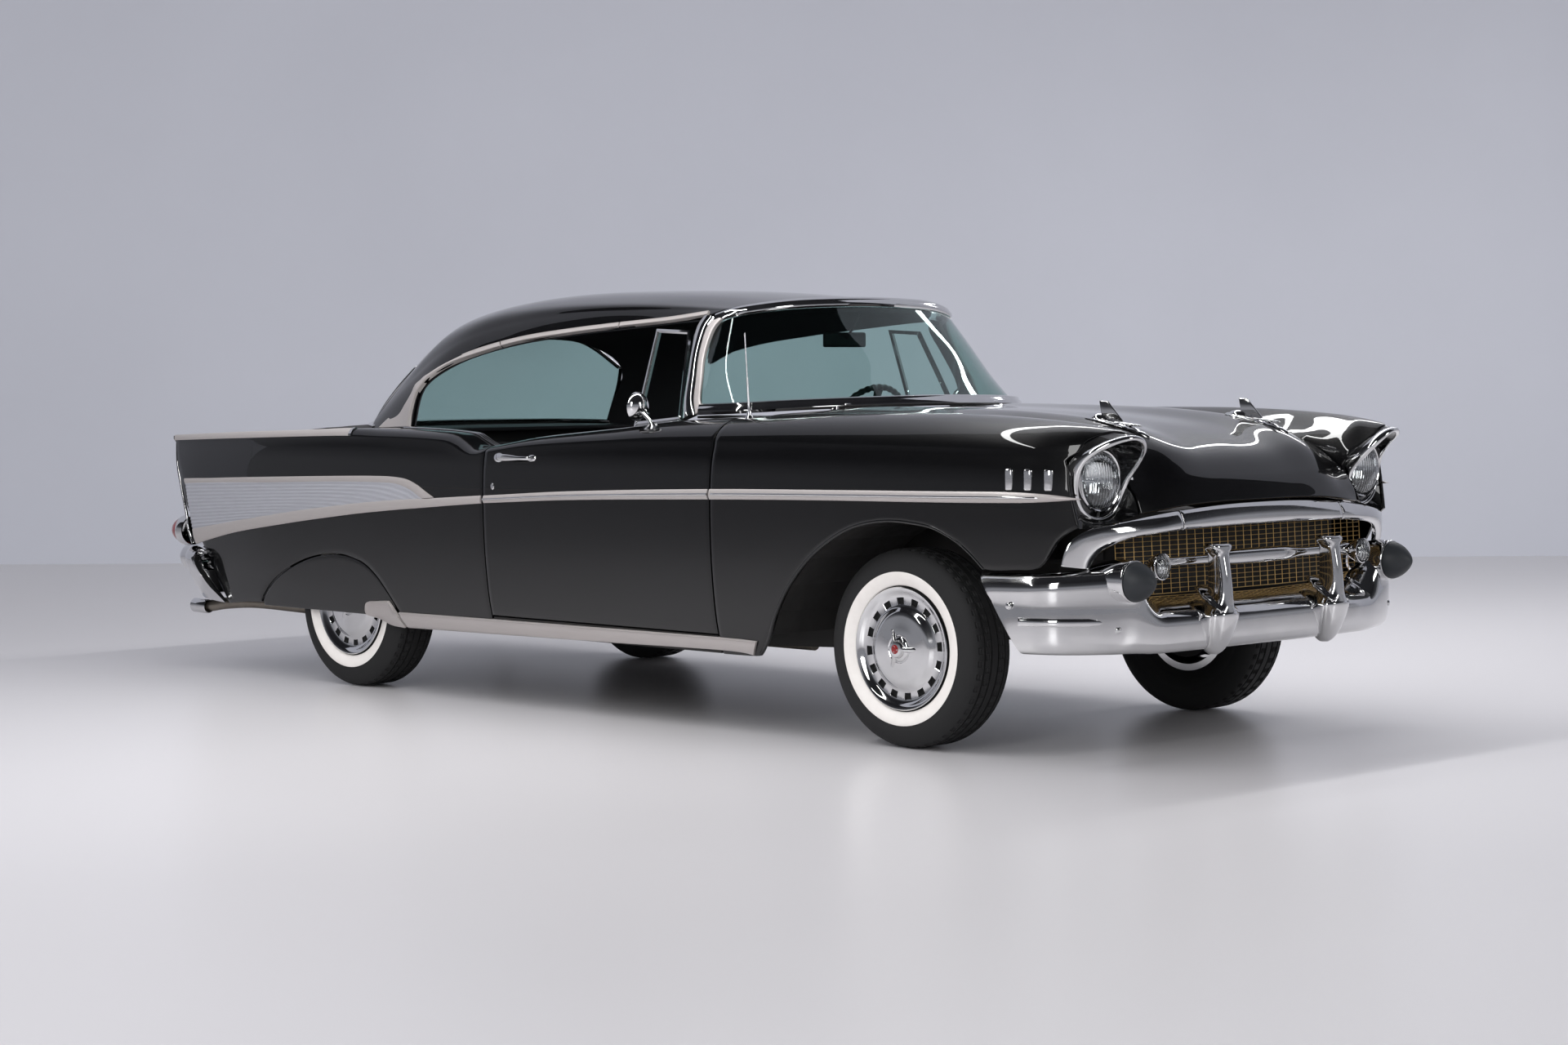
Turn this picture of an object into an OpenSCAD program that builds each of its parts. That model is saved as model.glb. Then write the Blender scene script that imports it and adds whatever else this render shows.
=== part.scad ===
// A two-door hardtop saloon car of the late 1950s, at full size.
// Frame: X forward, Y to the car's left, Z up, origin on the floor under the middle of its length.
// Panels are lofted sheets: a grid of points on the outer skin, and the same grid moved inwards.

/* [Overall] */
// Overall length, bumper to bumper
length = 5080; // [4900:10:5300]
// Distance between the axles
wheelbase = 2921; // [2850:1:3000]
// Half of the body's greatest width
half_width = 934; // [915:1:950]
// Distance from the front of the bumper to the front axle
front_overhang = 930; // [900:5:960]
// Height of the roof's crown
roof_z = 1526; // [1490:1:1540]

/* [Wheels] */
// Outer radius of a tyre
tyre_r = 324; // [315:1:330]
// Width of a tyre
tyre_w = 198; // [185:1:205]
// Radius of the wheel's rim flange
rim_r = 196; // [190:1:200]
// Distance between the middles of the front tyres
front_track = 1473; // [1450:1:1490]
// Distance between the middles of the rear tyres
rear_track = 1494; // [1470:1:1500]

/* [Panels] */
// Thickness of a single-skin panel
skin = 14; // [10:1:18]
// Thickness of a whole door
door_t = 100; // [80:1:115]
// Gap between two panels
gap = 6; // [5:0.5:8]
// X of the door's front shut line
door_front = 826; // [810:1:840]
// X of the door's rear shut line
door_rear = -372; // [-390:1:-355]
// Height of the sill's underside
sill_z = 262; // [250:1:275]
// Height of the floor's top face
floor_z = 345; // [330:1:360]

/* [Details] */
// Radius of a headlamp's lens
lamp_r = 89; // [80:1:92]
// Distance from the middle of the car to a headlamp's axis
lamp_y = 703; // [690:1:715]
// Height of a headlamp's axis
lamp_z = 879; // [865:1:885]
// Distance from the middle of the car to a bumper guard
guard_y = 300; // [270:1:330]
// Distance between the hood's two ornaments and the middle
ornament_y = 372; // [350:1:390]
// Radius of the steering wheel
wheel_rim_r = 215; // [200:1:225]

/* [Hidden] */
$fn = 40;
axle_f = length / 2 - front_overhang;
axle_r = axle_f - wheelbase;
nose = length / 2;
tail = -length / 2;
door_bottom = sill_z + 63;
// steered wheels turn about a line just inboard of the tyre
king_y = front_track / 2 - tyre_w / 2 - 22;

// smooth curve through a table of [x, value]
function seg(t, x, i = 0) = i >= len(t) - 2 || x < t[i + 1][0] ? i : seg(t, x, i + 1);
function slope(t, i) =
  i == 0 ? (t[1][1] - t[0][1]) / (t[1][0] - t[0][0])
  : i == len(t) - 1 ? (t[i][1] - t[i - 1][1]) / (t[i][0] - t[i - 1][0])
  : (t[i + 1][1] - t[i - 1][1]) / (t[i + 1][0] - t[i - 1][0]);
function smooth(t, x) =
  let (i = seg(t, x), h = t[i + 1][0] - t[i][0], s = (x - t[i][0]) / h)
  (2 * s * s * s - 3 * s * s + 1) * t[i][1] + (s * s * s - 2 * s * s + s) * h * slope(t, i)
  + (3 * s * s - 2 * s * s * s) * t[i + 1][1] + (s * s * s - s * s) * h * slope(t, i + 1);

// smooth curve through evenly numbered points, u from 0 to 1
function at(p, i) = p[max(0, min(len(p) - 1, i))];
function path(p, u) =
  let (w = u * (len(p) - 1), i = min(floor(w), len(p) - 2), s = w - i,
       a = at(p, i - 1), b = at(p, i), c = at(p, i + 1), d = at(p, i + 2))
  b + (c - a) * s / 2 + (a * 2 - b * 5 + c * 4 - d) * s * s / 2 + (b * 3 - a - c * 3 + d) * s * s * s / 2;
function patch(net, u, v) = path([for (row = net) path(row, u)], v);
function net_grid(net, nu, nv) = [for (j = [0:nv]) [for (i = [0:nu]) patch(net, i / nu, j / nv)]];

// points moved square to the surface
function unit(a) = a / max(norm(a), 0.0001);
function facing(g, j, i) =
  let (m = len(g) - 1, n = len(g[0]) - 1,
       du = g[j][min(i + 1, n)] - g[j][max(i - 1, 0)],
       dv = g[min(j + 1, m)][i] - g[max(j - 1, 0)][i])
  unit(cross(du, dv));
function moved(g, t) = [for (j = [0:len(g) - 1]) [for (i = [0:len(g[0]) - 1]) g[j][i] + t * facing(g,
  j, i)]];

// closed solid between two grids of the same size
module between(a, b) {
  m = len(a);
  n = len(a[0]);
  k = m * n;
  points = [each [for (row = a) each row], each [for (row = b) each row]];
  skin_faces = [for (j = [0:m - 2]) for (i = [0:n - 2]) let (p = j * n + i) each [
    [p, p + 1, p + n + 1], [p, p + n + 1, p + n],
    [k + p, k + p + n + 1, k + p + 1], [k + p, k + p + n, k + p + n + 1]]];
  long_edges = [for (i = [0:n - 2]) let (q = (m - 1) * n + i) each [
    [i, k + i + 1, i + 1], [i, k + i, k + i + 1],
    [q, q + 1, k + q + 1], [q, k + q + 1, k + q]]];
  short_edges = [for (j = [0:m - 2]) let (p = j * n, q = p + n - 1) each [
    [p, p + n, k + p + n], [p, k + p + n, k + p],
    [q, k + q + n, q + n], [q, k + q, k + q + n]]];
  polyhedron(points, concat(skin_faces, long_edges, short_edges));
}

// closed tube with a polygon for a section, rows run round the section
module ring(rows) {
  m = len(rows);
  n = len(rows[0]);
  points = [for (row = rows) each row];
  sides = [for (j = [0:m - 1]) for (i = [0:n - 2]) let (a = j * n + i, b = ((j + 1) % m) * n + i) each [
    [a, a + 1, b + 1], [a, b + 1, b]]];
  ends = [[for (j = [0:m - 1]) j * n], [for (j = [m - 1:-1:0]) j * n + n - 1]];
  polyhedron(points, concat(sides, ends));
}
// the same, closed on itself
module loop(rows) {
  m = len(rows);
  n = len(rows[0]);
  points = [for (row = rows) each row];
  sides = [for (j = [0:m - 1]) for (i = [0:n - 1])
    let (a = j * n + i, b = j * n + (i + 1) % n, k = (j + 1) % m, c = k * n + (i + 1) % n,
      d = k * n + i) each [
    [a, b, c], [a, c, d]]];
  polyhedron(points, sides);
}

// one side of the car and its mirror image
module left() {
  children();
}
module right() {
  mirror([0, 1, 0]) children();
}

// box between two corners
module block(a, b) {
  translate(a) cube(b - a);
}

// round bar between two points
module bar(a, b, r) {
  d = b - a;
  translate(a) rotate([0, acos(d[2] / norm(d)), atan2(d[1], d[0])]) cylinder(h = norm(d), r = r);
}

// outline of the body, half widths and heights along its length
plan = [[-2540, 852], [-2300, 882], [-1900, 908], [-1311, 922], [-400, 932], [400, 934], [1200, 932],
  [1700, 924], [2050, 906], [2200, 884], [2300, 850], [2350, 822], [2400, 790], [2450, 740]];
inset = [[240, 66], [300, 46], [400, 24], [550, 7], [700, 0], [830, 0], [900, 6], [960, 18], [1010, 36]];
crease = [[-2540, 934], [-1984, 950], [-1231, 968], [-619, 960], [-466, 916], [-381, 925], [-150, 950],
  [291, 968], [826, 974], [2264, 966], [2470, 985]];
top_z = [[-2540, 960], [-1984, 982], [-1539, 995], [-1231, 1006], [-1028, 1008], [-800, 1005],
  [-619, 995],
  [-540, 968], [-466, 946], [-381, 953], [-150, 985], [118, 1009], [291, 1024], [510, 1048], [826, 1066],
  [1146, 1079], [1516, 1085], [1868, 1082], [2202, 1064], [2400, 1038], [2465, 1016]];
top_y = [[-2540, 842], [-1984, 868], [-1231, 872], [-1028, 852], [-619, 846], [-466, 848], [-150, 840],
  [291, 812], [510, 784], [826, 756], [1146, 744], [2202, 726], [2465, 694]];
function body_y(x, z) = smooth(plan, x) * half_width / 934 - smooth(inset, z);
// cross-section of the body's side, v from 0 at the lower edge to 1 at the crease and 2 at the top
function side_point(x, bottom, v) =
  let (zc = smooth(crease, x), yc = body_y(x, zc), zt = smooth(top_z, x), yt = smooth(top_y, x))
  v <= 1 ? let (z = bottom + (zc - bottom) * v) [x, body_y(x, z), z]
  : [x, yt + (yc - yt) * cos(90 * (v - 1)), zc + (zt - zc) * sin(90 * (v - 1))];
side_rows = [0, 0.2, 0.4, 0.6, 0.8, 0.92, 1, 1.3, 1.6, 2];
function inward(v) = let (a = v <= 1 ? 0 : v < 2 ? 90 * (v - 1) : 90) [0, cos(a), sin(a)];

front_arch = [[832, 262], [985, 264], [1018, 274], [1045, 305], [1073, 340], [1117, 418], [1185, 511],
  [1281, 604],
  [1376, 668], [1469, 712], [1561, 735], [1652, 744], [1742, 740], [1830, 727], [1918, 691], [1978, 651],
  [2030, 605], [2120, 606], [2180, 618], [2222, 700], [2264, 740]];
rear_arch = [[-2199, 284], [-2000, 298], [-1870, 302], [-1857, 316], [-1769, 384], [-1675, 434],
  [-1552, 480],
  [-1430, 510], [-1311, 522], [-1208, 516], [-1121, 493], [-1049, 448], [-992, 389], [-957, 343],
  [-925, 300],
  [-870, 264], [-600, 262], [-378, 262]];

// fender: side, shoulder, and a slope down to the hood
hood_edge = [[826, 646], [1000, 644], [1500, 632], [2000, 614], [2240, 592], [2330, 587], [2400, 590]];
hood_edge_z = [[826, 1068], [1000, 1073], [1420, 1067], [1800, 1048], [2140, 984], [2300, 906],
  [2372, 834]];
fender_end = [[0, 2345], [0.2, 2335], [0.4, 2326], [0.6, 2318], [0.8, 2312], [0.92, 2304], [1, 2334],
  [1.3, 2350],
  [1.6, 2386], [2, 2428], [2.25, 2428], [2.5, 2424], [2.75, 2386], [3, 2320]];
function fender_point(p, v) =
  let (x = p[0] <= 2030 ? p[0] : 2030 + (p[0] - 2030) * (smooth(fender_end, v) - 2030) / (2264 - 2030))
  v <= 2 ? side_point(x, p[1], v)
  : let (a = side_point(x, p[1], 2), ys = smooth(hood_edge, min(x, 2400)) + gap, w = v - 2,
      k = max(0, min(1, (x - 2050) / 280)),
        down = w * w * (3 - 2 * w) * (1 - k) + (1 - sqrt(1 - w * w)) * k)
    [x, a[1] + (ys - a[1]) * w, a[2] + (smooth(hood_edge_z, x) - a[2]) * down];
fender_rows = concat(side_rows, [2.25, 2.5, 2.75, 3]);
module fender() {
  outer = [for (v = fender_rows) [for (p = front_arch) fender_point(p, v)]];
  inner = [for (j = [0:len(outer) - 1]) [for (p = outer[j]) p - skin * inward(fender_rows[j])]];
  between(outer, inner);
  cheek();
}
// black face between the lamp's bezel and the edges of fender, hood and lip
lamp_x = 2312;
bezel_line = [[0, 752, 2328], [52, 764, 2326], [88, 794, 2323], [107, 836, 2322], [112, 885, 2326],
  [110, 932, 2344],
  [98, 972, 2384], [66, 1003, 2432], [24, 1018, 2458], [-16, 1019, 2466], [-52, 1006, 2464],
  [-84, 974, 2444],
  [-101, 928, 2404], [-106, 882, 2364], [-104, 838, 2342], [-90, 798, 2332], [-56, 766, 2330]];
function bezel_points() = [for (i = [0:33]) let (k = floor(i / 2), a = bezel_line[k],
  b = bezel_line[(k + 1) % 17],
    h = bezel_line[(k + 16) % 17], e = bezel_line[(k + 2) % 17])
  i % 2 == 0 ? a : (a + b) * 0.5625 - (h + e) * 0.0625];
face_reach = [4, 20, 34, 26, 19, 19, 15, 6, 2, 2, 2, 2, 2, 3, 3, 16, 18];
module cheek() {
  points = bezel_points();
  loop([for (c = [[0, -12], [1, -12], [1, -20], [0, -20]]) [for (i = [0:33])
    let (p = points[i], d = unit([p[0], (p[1] - lamp_z) * 0.9]),
      r = 3 + c[0] * (face_reach[floor(i / 2)] + face_reach[ceil(i / 2) % 17]) / 2)
    [p[2] + c[1], lamp_y + p[0] + r * d[0], p[1] + r * d[1]]]]);
}

door_xs = [for (i = [0:10]) door_rear + (door_front - door_rear) * i / 10];
module door_shell() {
  outer = [for (v = side_rows) [for (x = door_xs) side_point(x, door_bottom + gap, v)]];
  inner = [for (j = [0:len(outer) - 1]) [for (i = [0:len(door_xs) - 1])
    let (v = side_rows[j]) outer[j][i] + [i == 0 ? 14 : 0, v <= 1 ? -door_t : 70 * (v - 1) - door_t, 0]]];
  between(outer, inner);
}
// vent window at the front of the door
vent = [[232, 736, 1026], [470, 732, 1050], [385, 606, 1366], [222, 612, 1374]];
vent_light = [[248, 728, 1048], [452, 724, 1066], [372, 608, 1352], [238, 616, 1359]];
module vent_window() {
  loop([vent, vent_light, [for (p = vent_light) p - [0, 12, 0]], [for (p = vent) p - [0, 12, 0]]]);
}
module door() {
  door_shell();
  vent_window();
  translate([0, body_y(-200, 912) - 4, 0]) {
    block([-290, 0, 898], [-262, 30, 926]);
    block([-290, 20, 905], [-110, 34, 919]);
    block([-146, 0, 898], [-118, 30, 926]);
  }
}

quarter_rows = concat(side_rows, [2.5, 3]);
quarter_end = [[0, -2112], [0.2, -2182], [0.4, -2266], [0.6, -2366], [0.8, -2420], [1, -2478],
  [2, -2500], [3, -2490]];
deck_edge = [[-2500, 640], [-2000, 640], [-1700, 641], [-1420, 668], [-1064, 724], [-600, 740],
  [-378, 745]];
deck_z = [[-2500, 900], [-2330, 916], [-2150, 950], [-1950, 978], [-1700, 996], [-1420, 1002],
  [-1064, 1008], [-619, 990],
  [-540, 960], [-466, 938], [-378, 948]];
function quarter_point(p, v) =
  let (x = p[0] >= -1870 ? p[0] : -1870 + (p[0] + 1870) * (smooth(quarter_end, v) + 1870) / (1870 - 2199))
  v <= 2 ? side_point(x, p[1], v)
  : let (a = side_point(x, p[1], 2), w = v - 2, k = x < -1231 ? sqrt(w) : w)
    [x, a[1] + (smooth(deck_edge, x) - a[1]) * w, a[2] + (smooth(deck_z, x) - a[2]) * k];
lamp_rear_y = 838;
lamp_rear_z = 572;
rear_face = [for (k = [0:6]) let (p = quarter_point(rear_arch[0], 0.36 + k * 0.1), a = p - [2, 16, 0],
  b = [-2412, 645, 518 + 60 * k])
  [a, (a + b) / 2 - [0, 6, 0], b]];
module quarter() {
  outer = [for (v = quarter_rows) [for (p = rear_arch) quarter_point(p, v)]];
  inner = [for (j = [0:len(outer) - 1]) [for (p = outer[j]) p - skin * inward(quarter_rows[j])]];
  between(outer, inner);
  // rear face between the side and the trunk lid
  difference() {
    between([for (row = rear_face) [for (p = row) p + [10, 0, 0]]], rear_face);
    translate([-2300, lamp_rear_y, lamp_rear_z]) rotate([0, -90, 0]) cylinder(h = 160, r = 66);
  }
}
skirt_arch = [for (p = rear_arch) if (p[0] > -1870 && p[0] < -950) p];
module skirt() {
  outer = [for (v = [0, 0.5, 1]) [for (p = skirt_arch)
    let (x = -1311 + (p[0] + 1311) * 0.985, z = 290 + (p[1] - 6 - 290) * v) [x, body_y(x, z) - 2, z]]];
  between(outer, [for (row = outer) [for (p = row) p - [0, 10, 0]]]);
}

// nets of points: each row runs from front to back, rows from the middle outwards
hood_net = [
  [[2434, 0, 804], [2400, 0, 884], [2310, 0, 968], [2120, 0, 1030], [1800, 0, 1068], [1450, 0, 1086],
  [1090, 0, 1094]],
  [[2430, 190, 803], [2396, 190, 886], [2306, 190, 970], [2116, 190, 1032], [1800, 190, 1068],
  [1450, 190, 1086], [1086, 190, 1094]],
  [[2424, 372, 797], [2386, 372, 890], [2300, 372, 984], [2120, 372, 1050], [1800, 372, 1084],
  [1430, 372, 1096], [1068, 372, 1100]],
  [[2412, 500, 786], [2374, 490, 860], [2290, 490, 946], [2120, 490, 1018], [1800, 500, 1066],
  [1430, 510, 1084], [1030, 520, 1090]],
  [[2396, 582, 776], [2372, 583, 836], [2300, 584, 908], [2140, 599, 986], [1800, 618, 1050],
  [1420, 632, 1068], [990, 642, 1074]]];
function both(g) = concat([for (j = [len(g) - 1:-1:1]) [for (p = g[j]) [p[0], -p[1], p[2]]]], g);
module ornament() {
  translate([0, ornament_y, 0]) {
    rotate([90, 0, 0]) linear_extrude(14, center = true)
      polygon([[2000, 1050], [2236, 1030], [2240, 1042], [2166, 1062], [2112, 1124], [2066, 1124],
        [2044, 1062]]);
    rotate([90, 0, 0]) linear_extrude(64, center = true)
      polygon([[1990, 1050], [2230, 1024], [2236, 1044], [2140, 1064], [2020, 1070], [1990, 1060]]);
  }
}
module hood() {
  g = net_grid(both(hood_net), 16, 20);
  between(g, moved(g, skin));
  ornament();
  mirror([0, 1, 0]) ornament();
}

trunk_net = [
  [[-1736, 0, 1010], [-1950, 0, 996], [-2150, 0, 968], [-2330, 0, 922], [-2404, 0, 866],
  [-2416, 0, 760], [-2416, 0, 640]],
  [[-1734, 330, 1009], [-1950, 330, 994], [-2150, 330, 966], [-2330, 330, 919], [-2402, 330, 864],
  [-2414, 330, 760], [-2414, 330, 640]],
  [[-1728, 631, 1000], [-1950, 631, 982], [-2150, 631, 952], [-2325, 631, 906], [-2390, 631, 852],
  [-2402, 631, 760], [-2402, 631, 640]]];
module trunk_lid() {
  g = net_grid(both(trunk_net), 16, 10);
  between(g, moved(g, skin));
}

crown = roof_z;
roof_net = [
  [[650, 0, crown - 48], [240, 0, crown - 14], [-180, 0, crown], [-560, 0, crown - 4],
  [-880, 0, crown - 34],
    [-1120, 0, crown - 86], [-1290, 0, crown - 158]],
  [[610, 330, 1466], [210, 335, 1500], [-200, 340, 1514], [-560, 340, 1508], [-870, 340, 1477],
  [-1100, 338, 1428], [-1280, 335, 1356]],
  [[530, 505, 1446], [130, 535, 1468], [-240, 548, 1472], [-570, 552, 1458], [-830, 556, 1424],
  [-1060, 552, 1356], [-1250, 545, 1242]],
  [[490, 550, 1434], [110, 574, 1440], [-240, 592, 1432], [-600, 612, 1396], [-900, 632, 1325],
  [-1170, 646, 1180], [-1420, 636, 1008]],
  [[459, 575, 1419], [100, 604, 1387], [-230, 625, 1362], [-560, 645, 1325], [-860, 665, 1259],
  [-1030, 694, 1170], [-1064, 722, 1012]]];
module roof() {
  g = net_grid(both(roof_net), 16, 20);
  between(g, moved(g, skin));
}

glass_net = [
  [[700, 0, 1454], [790, 0, 1336], [885, 0, 1212], [975, 0, 1108]],
  [[662, 330, 1446], [745, 370, 1330], [825, 408, 1208], [905, 445, 1102]],
  [[582, 540, 1420], [625, 610, 1312], [680, 668, 1196], [760, 708, 1090]],
  [[512, 592, 1388], [524, 655, 1280], [540, 702, 1180], [580, 738, 1086]]];
module windshield() {
  g = net_grid(both(glass_net), 6, 18);
  between(g, moved(g, 6));
}
// section of the frame, square to the glass at each point of its edge
edge_low = [for (i = [0:18]) path([for (row = both(glass_net)) row[3]], i / 18)];
edge_top = [for (i = [0:18]) path([for (row = both(glass_net)) row[0]], i / 18)];
module windshield_frame() {
  hub_x = 200;
  function out(p) = unit([p[0] - hub_x, p[1], 0]);
  ring([for (d = [[10, -0.5], [10, -12], [-16, -16], [-16,
    -0.5]]) [for (p = edge_low) p + d[0] * out(p) + [0, 0, d[1]]]]);
  ring([for (d = [[12, 20], [12, 4.5], [-20, 4.5], [-20,
    24]]) [for (p = edge_top) p + d[0] * out(p) + [0, 0, d[1]]]]);
  for (s = [-1, 1]) scale([1, s, 1]) {
    side = [for (i = [0:6]) path([for (p = glass_net[3]) p], i / 6)];
    ring([for (d = [[-0.5, -14], [-60, -14], [-60, 6], [-0.5, 14]]) [for (p = side) p + [d[0], d[1],
      0]]]);
  }
}

rear_net = [
  [[-1298, 0, 1360], [-1440, 0, 1262], [-1580, 0, 1140], [-1700, 0, 1020]],
  [[-1288, 335, 1348], [-1420, 370, 1250], [-1545, 405, 1132], [-1650, 430, 1016]],
  [[-1258, 534, 1236], [-1314, 570, 1166], [-1376, 596, 1088], [-1428, 612, 1010]]];
module rear_glass() {
  g = net_grid(both(rear_net), 8, 14);
  between(g, moved(g, 6));
}

// cowl between the hood and the windshield, and deck between the rear glass and the trunk lid
cowl_net = [
  [[1082, 0, 1091], [985, 0, 1091]],
  [[1078, 190, 1090], [966, 200, 1090]],
  [[1060, 372, 1090], [925, 400, 1085]],
  [[1022, 520, 1082], [850, 600, 1074]],
  [[980, 634, 1070], [834, 642, 1068]]];
ledge = [[[834, 636, 1068], [560, 636, 1068]], [[820, 712, 1066], [560, 734, 1066]]];
module cowl() {
  g = net_grid(both(cowl_net), 2, 20);
  between(g, moved(g, skin));
  for (s = [-1, 1]) scale([1, s, 1]) between(ledge, moved(ledge, 8));
}
deck_net = [
  [[-1702, 0, 1016], [-1727, 0, 1012]],
  [[-1660, 420, 1012], [-1725, 420, 1009]],
  [[-1432, 628, 1002], [-1719, 628, 998]]];
module deck() {
  g = net_grid(both(deck_net), 1, 12);
  between(g, moved(g, skin));
}

// tyre section: half width and radius
module tyre() {
  w = tyre_w / 2;
  rotate([90, 0, 0]) rotate_extrude($fn = 60)
    polygon([[rim_r - 14, -w * 0.72], [rim_r + 8, -w * 0.84], [250, -w], [285, -w * 0.97],
      [312, -w * 0.84],
      [tyre_r, -w * 0.62], [tyre_r, w * 0.62], [312, w * 0.84], [285, w * 0.97], [250, w],
      [rim_r + 8, w * 0.84],
      [rim_r - 14, w * 0.72]]);
}
// rim, cover and centre; the hub runs on the spindle
spindle_r = 28;
module wheel(tip) {
  w = tyre_w / 2;
  rotate([-90, 0, 0]) rotate_extrude($fn = 64)
    polygon([[0, 22], [spindle_r + 1, 22], [spindle_r + 1, -6], [58, -6], [58, 22], [140, 22],
      [150, -40], [158, -w * 0.7],
      [rim_r - 15, -w * 0.7], [rim_r - 15, w * 0.74], [rim_r - 4, w * 0.88], [rim_r - 24, w * 0.92],
      [rim_r - 40, w * 0.72], [120, w * 0.74], [104, w * 0.92], [60, w * 0.98], [34, w * 1.03],
      [28, w * (tip - 0.05)], [0, w * tip]]);
}
// brake drum and spindle, in the wheel's own frame
module hub(from) {
  rotate([-90, 0, 0]) {
    translate([0, 0, -78]) cylinder(h = 62, r = 132);
    translate([0, 0, from]) cylinder(h = 20 - from, r = spindle_r);
  }
}
module corner(front, s) {
  y = (front ? front_track : rear_track) / 2;
  scale([1, s, 1]) translate([front ? axle_f : axle_r, y, tyre_r]) children();
}

// bar swept along half a path and its mirror image; section in outward and upward distances
// and the ends cut back by a lean
module bumper_bar(line, section, n = 32, lean = 0) {
  full = concat([for (i = [len(line) - 1:-1:1]) [line[i][0], -line[i][1], line[i][2]]], line);
  pts = [for (i = [0:n]) path(full, i / n)];
  ring([for (k = [len(section) - 1:-1:0]) [for (i = [0:n])
    let (d = unit(pts[min(i + 1, n)] - pts[max(i - 1, 0)]), o = unit([d[1], -d[0], 0]))
    let (e = max(0, abs(2 * i / n - 1) - 0.75) * 4)
    pts[i] + section[k][0] * o + [lean * (section[k][1] - section[0][1]) * e * e, 0, section[k][1]]]]);
}
// tube through rings of [x, y, z, radius], each ring facing a given way
module tube(rings, dirs, n = 16) {
  rows = [for (k = [n - 1:-1:0]) [for (i = [0:len(rings) - 1])
    let (c = rings[i], d = unit(dirs[i]), a = unit(cross(d, [0, 0, 1])), b = cross(a, d))
    [c[0], c[1], c[2]] + c[3] * (cos(360 * k / n) * a + sin(360 * k / n) * b)]];
  ring(rows);
}
// stack of flat ovals of [x, y, z, half length, half width]
module stack(ovals, n = 16) {
  ring([for (k = [0:n - 1]) [for (o = ovals) [o[0] + o[3] * cos(360 * k / n),
    o[1] + o[4] * sin(360 * k / n), o[2]]]]);
}
// front bumper: one tall sheet carried round the nose, a shelf in the middle and a rolled wing at the sides
front_line = [[2440, 0], [2440, 200], [2434, 400], [2420, 560], [2385, 700], [2300, 806], [2235, 848],
  [2168, 868]];
middle_section = [[10, 340], [40, 350], [47, 395], [46, 441], [22, 471], [-64, 521], [-64, 513],
  [20, 460], [36, 420],
  [34, 380], [8, 352]];
wing_section = [[10, 346], [40, 356], [47, 410], [46, 500], [50, 560], [6, 598], [4, 590], [40, 555],
  [38, 500],
  [36, 400], [8, 358]];
function ramp(x) = let (t = max(0, min(1, x))) t * t * (3 - 2 * t);
module front_sheet(n = 44) {
  full = concat([for (i = [len(front_line) - 1:-1:1]) [front_line[i][0], -front_line[i][1], 0]],
    [for (p = front_line) [p[0], p[1], 0]]);
  pts = [for (i = [0:n]) path(full, i / n)];
  ring([for (k = [len(middle_section) - 1:-1:0]) [for (i = [0:n])
    let (p = pts[i], d = unit(pts[min(i + 1, n)] - pts[max(i - 1, 0)]), o = unit([d[1], -d[0],
      0]), u = 2 * i / n - 1,
      w = ramp((abs(p[1]) - 540) / 128), q = middle_section[k] * (1 - w) + wing_section[k] * w,
      z = q[1] + 0.09 * (p[0] - 2235) * ramp((q[1] - 470) / 60) * ramp((abs(p[1]) - 600) / 100),
      back = 0.63 * (z - 348) * ramp((abs(u) - 0.9) / 0.1))
    [p[0] + q[0] * o[0] - back, p[1] + q[0] * o[1] + 0.1 * back * sign(u), z]]]);
}
// long round pod that grows out of the wing, with a pointed tip
pod_rings = [[2286, 716, 566, 40], [2320, 704, 567, 54], [2356, 697, 569, 63], [2400, 693, 572, 67.5],
  [2440, 692, 572, 68], [2462, 692, 572, 66]];
module pod() {
  tube(pod_rings, [for (p = pod_rings) [1, 0, 0]], 24);
  translate([2458, 692, 572]) rotate([0, 90, 0]) rotate_extrude()
    polygon([[0, 0], [62, 0], [62, 12], [51, 38], [28, 66], [5, nose - 2458.8], [0, nose - 2458]]);
}
// guard from the keel up: height, back, front, half width; its foot spreads over the shelf
guard_sections = [[324, 2446, 2478, 14], [338, 2436, 2494, 32], [368, 2430, 2513, 47],
  [404, 2428, 2526, 57],
  [438, 2426, 2535, 63], [456, 2427, 2536, 60], [480, 2438, 2533, 38], [510, 2446, 2532, 28],
  [560, 2450, 2527, 24],
  [620, 2450, 2517, 24], [644, 2449, 2513, 28], [656, 2447, 2512, 44], [672, 2451, 2506, 42]];
module guard() {
  ring([for (k = [0:23]) [for (g = guard_sections)
    let (a = 15 * k, c = cos(a), s = sin(a), r = pow(pow(abs(c), 3) + pow(abs(s), 3), -1 / 3))
    [(g[1] + g[2]) / 2 + (g[2] - g[1]) / 2 * c * r, guard_y + g[3] * s * r, g[0]]]]);
  tube([[2500, guard_y, 480, 14], [2448, guard_y, 510, 17], [2414, guard_y, 528, 10]],
    [for (i = [0:2]) [-1, 0, 0.5]], 12);
}
module front_bumper() {
  front_sheet();
  for (s = [-1, 1]) scale([1, s, 1]) {
    pod();
    guard();
  }
}
rear_line = [[2486, 0, 420], [2484, 200, 420], [2479, 400, 420], [2466, 600, 420], [2426, 740, 420],
  [2346, 836, 420], [2230, 872, 414], [2120, 884, 408]];
rear_section = [[-30, -116], [-18, -122], [20, -60], [36, -20], [50, 10], [54, 40], [44, 72], [10, 90],
  [-20, 84],
  [-14, 70], [16, 40], [10, -20]];
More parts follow.
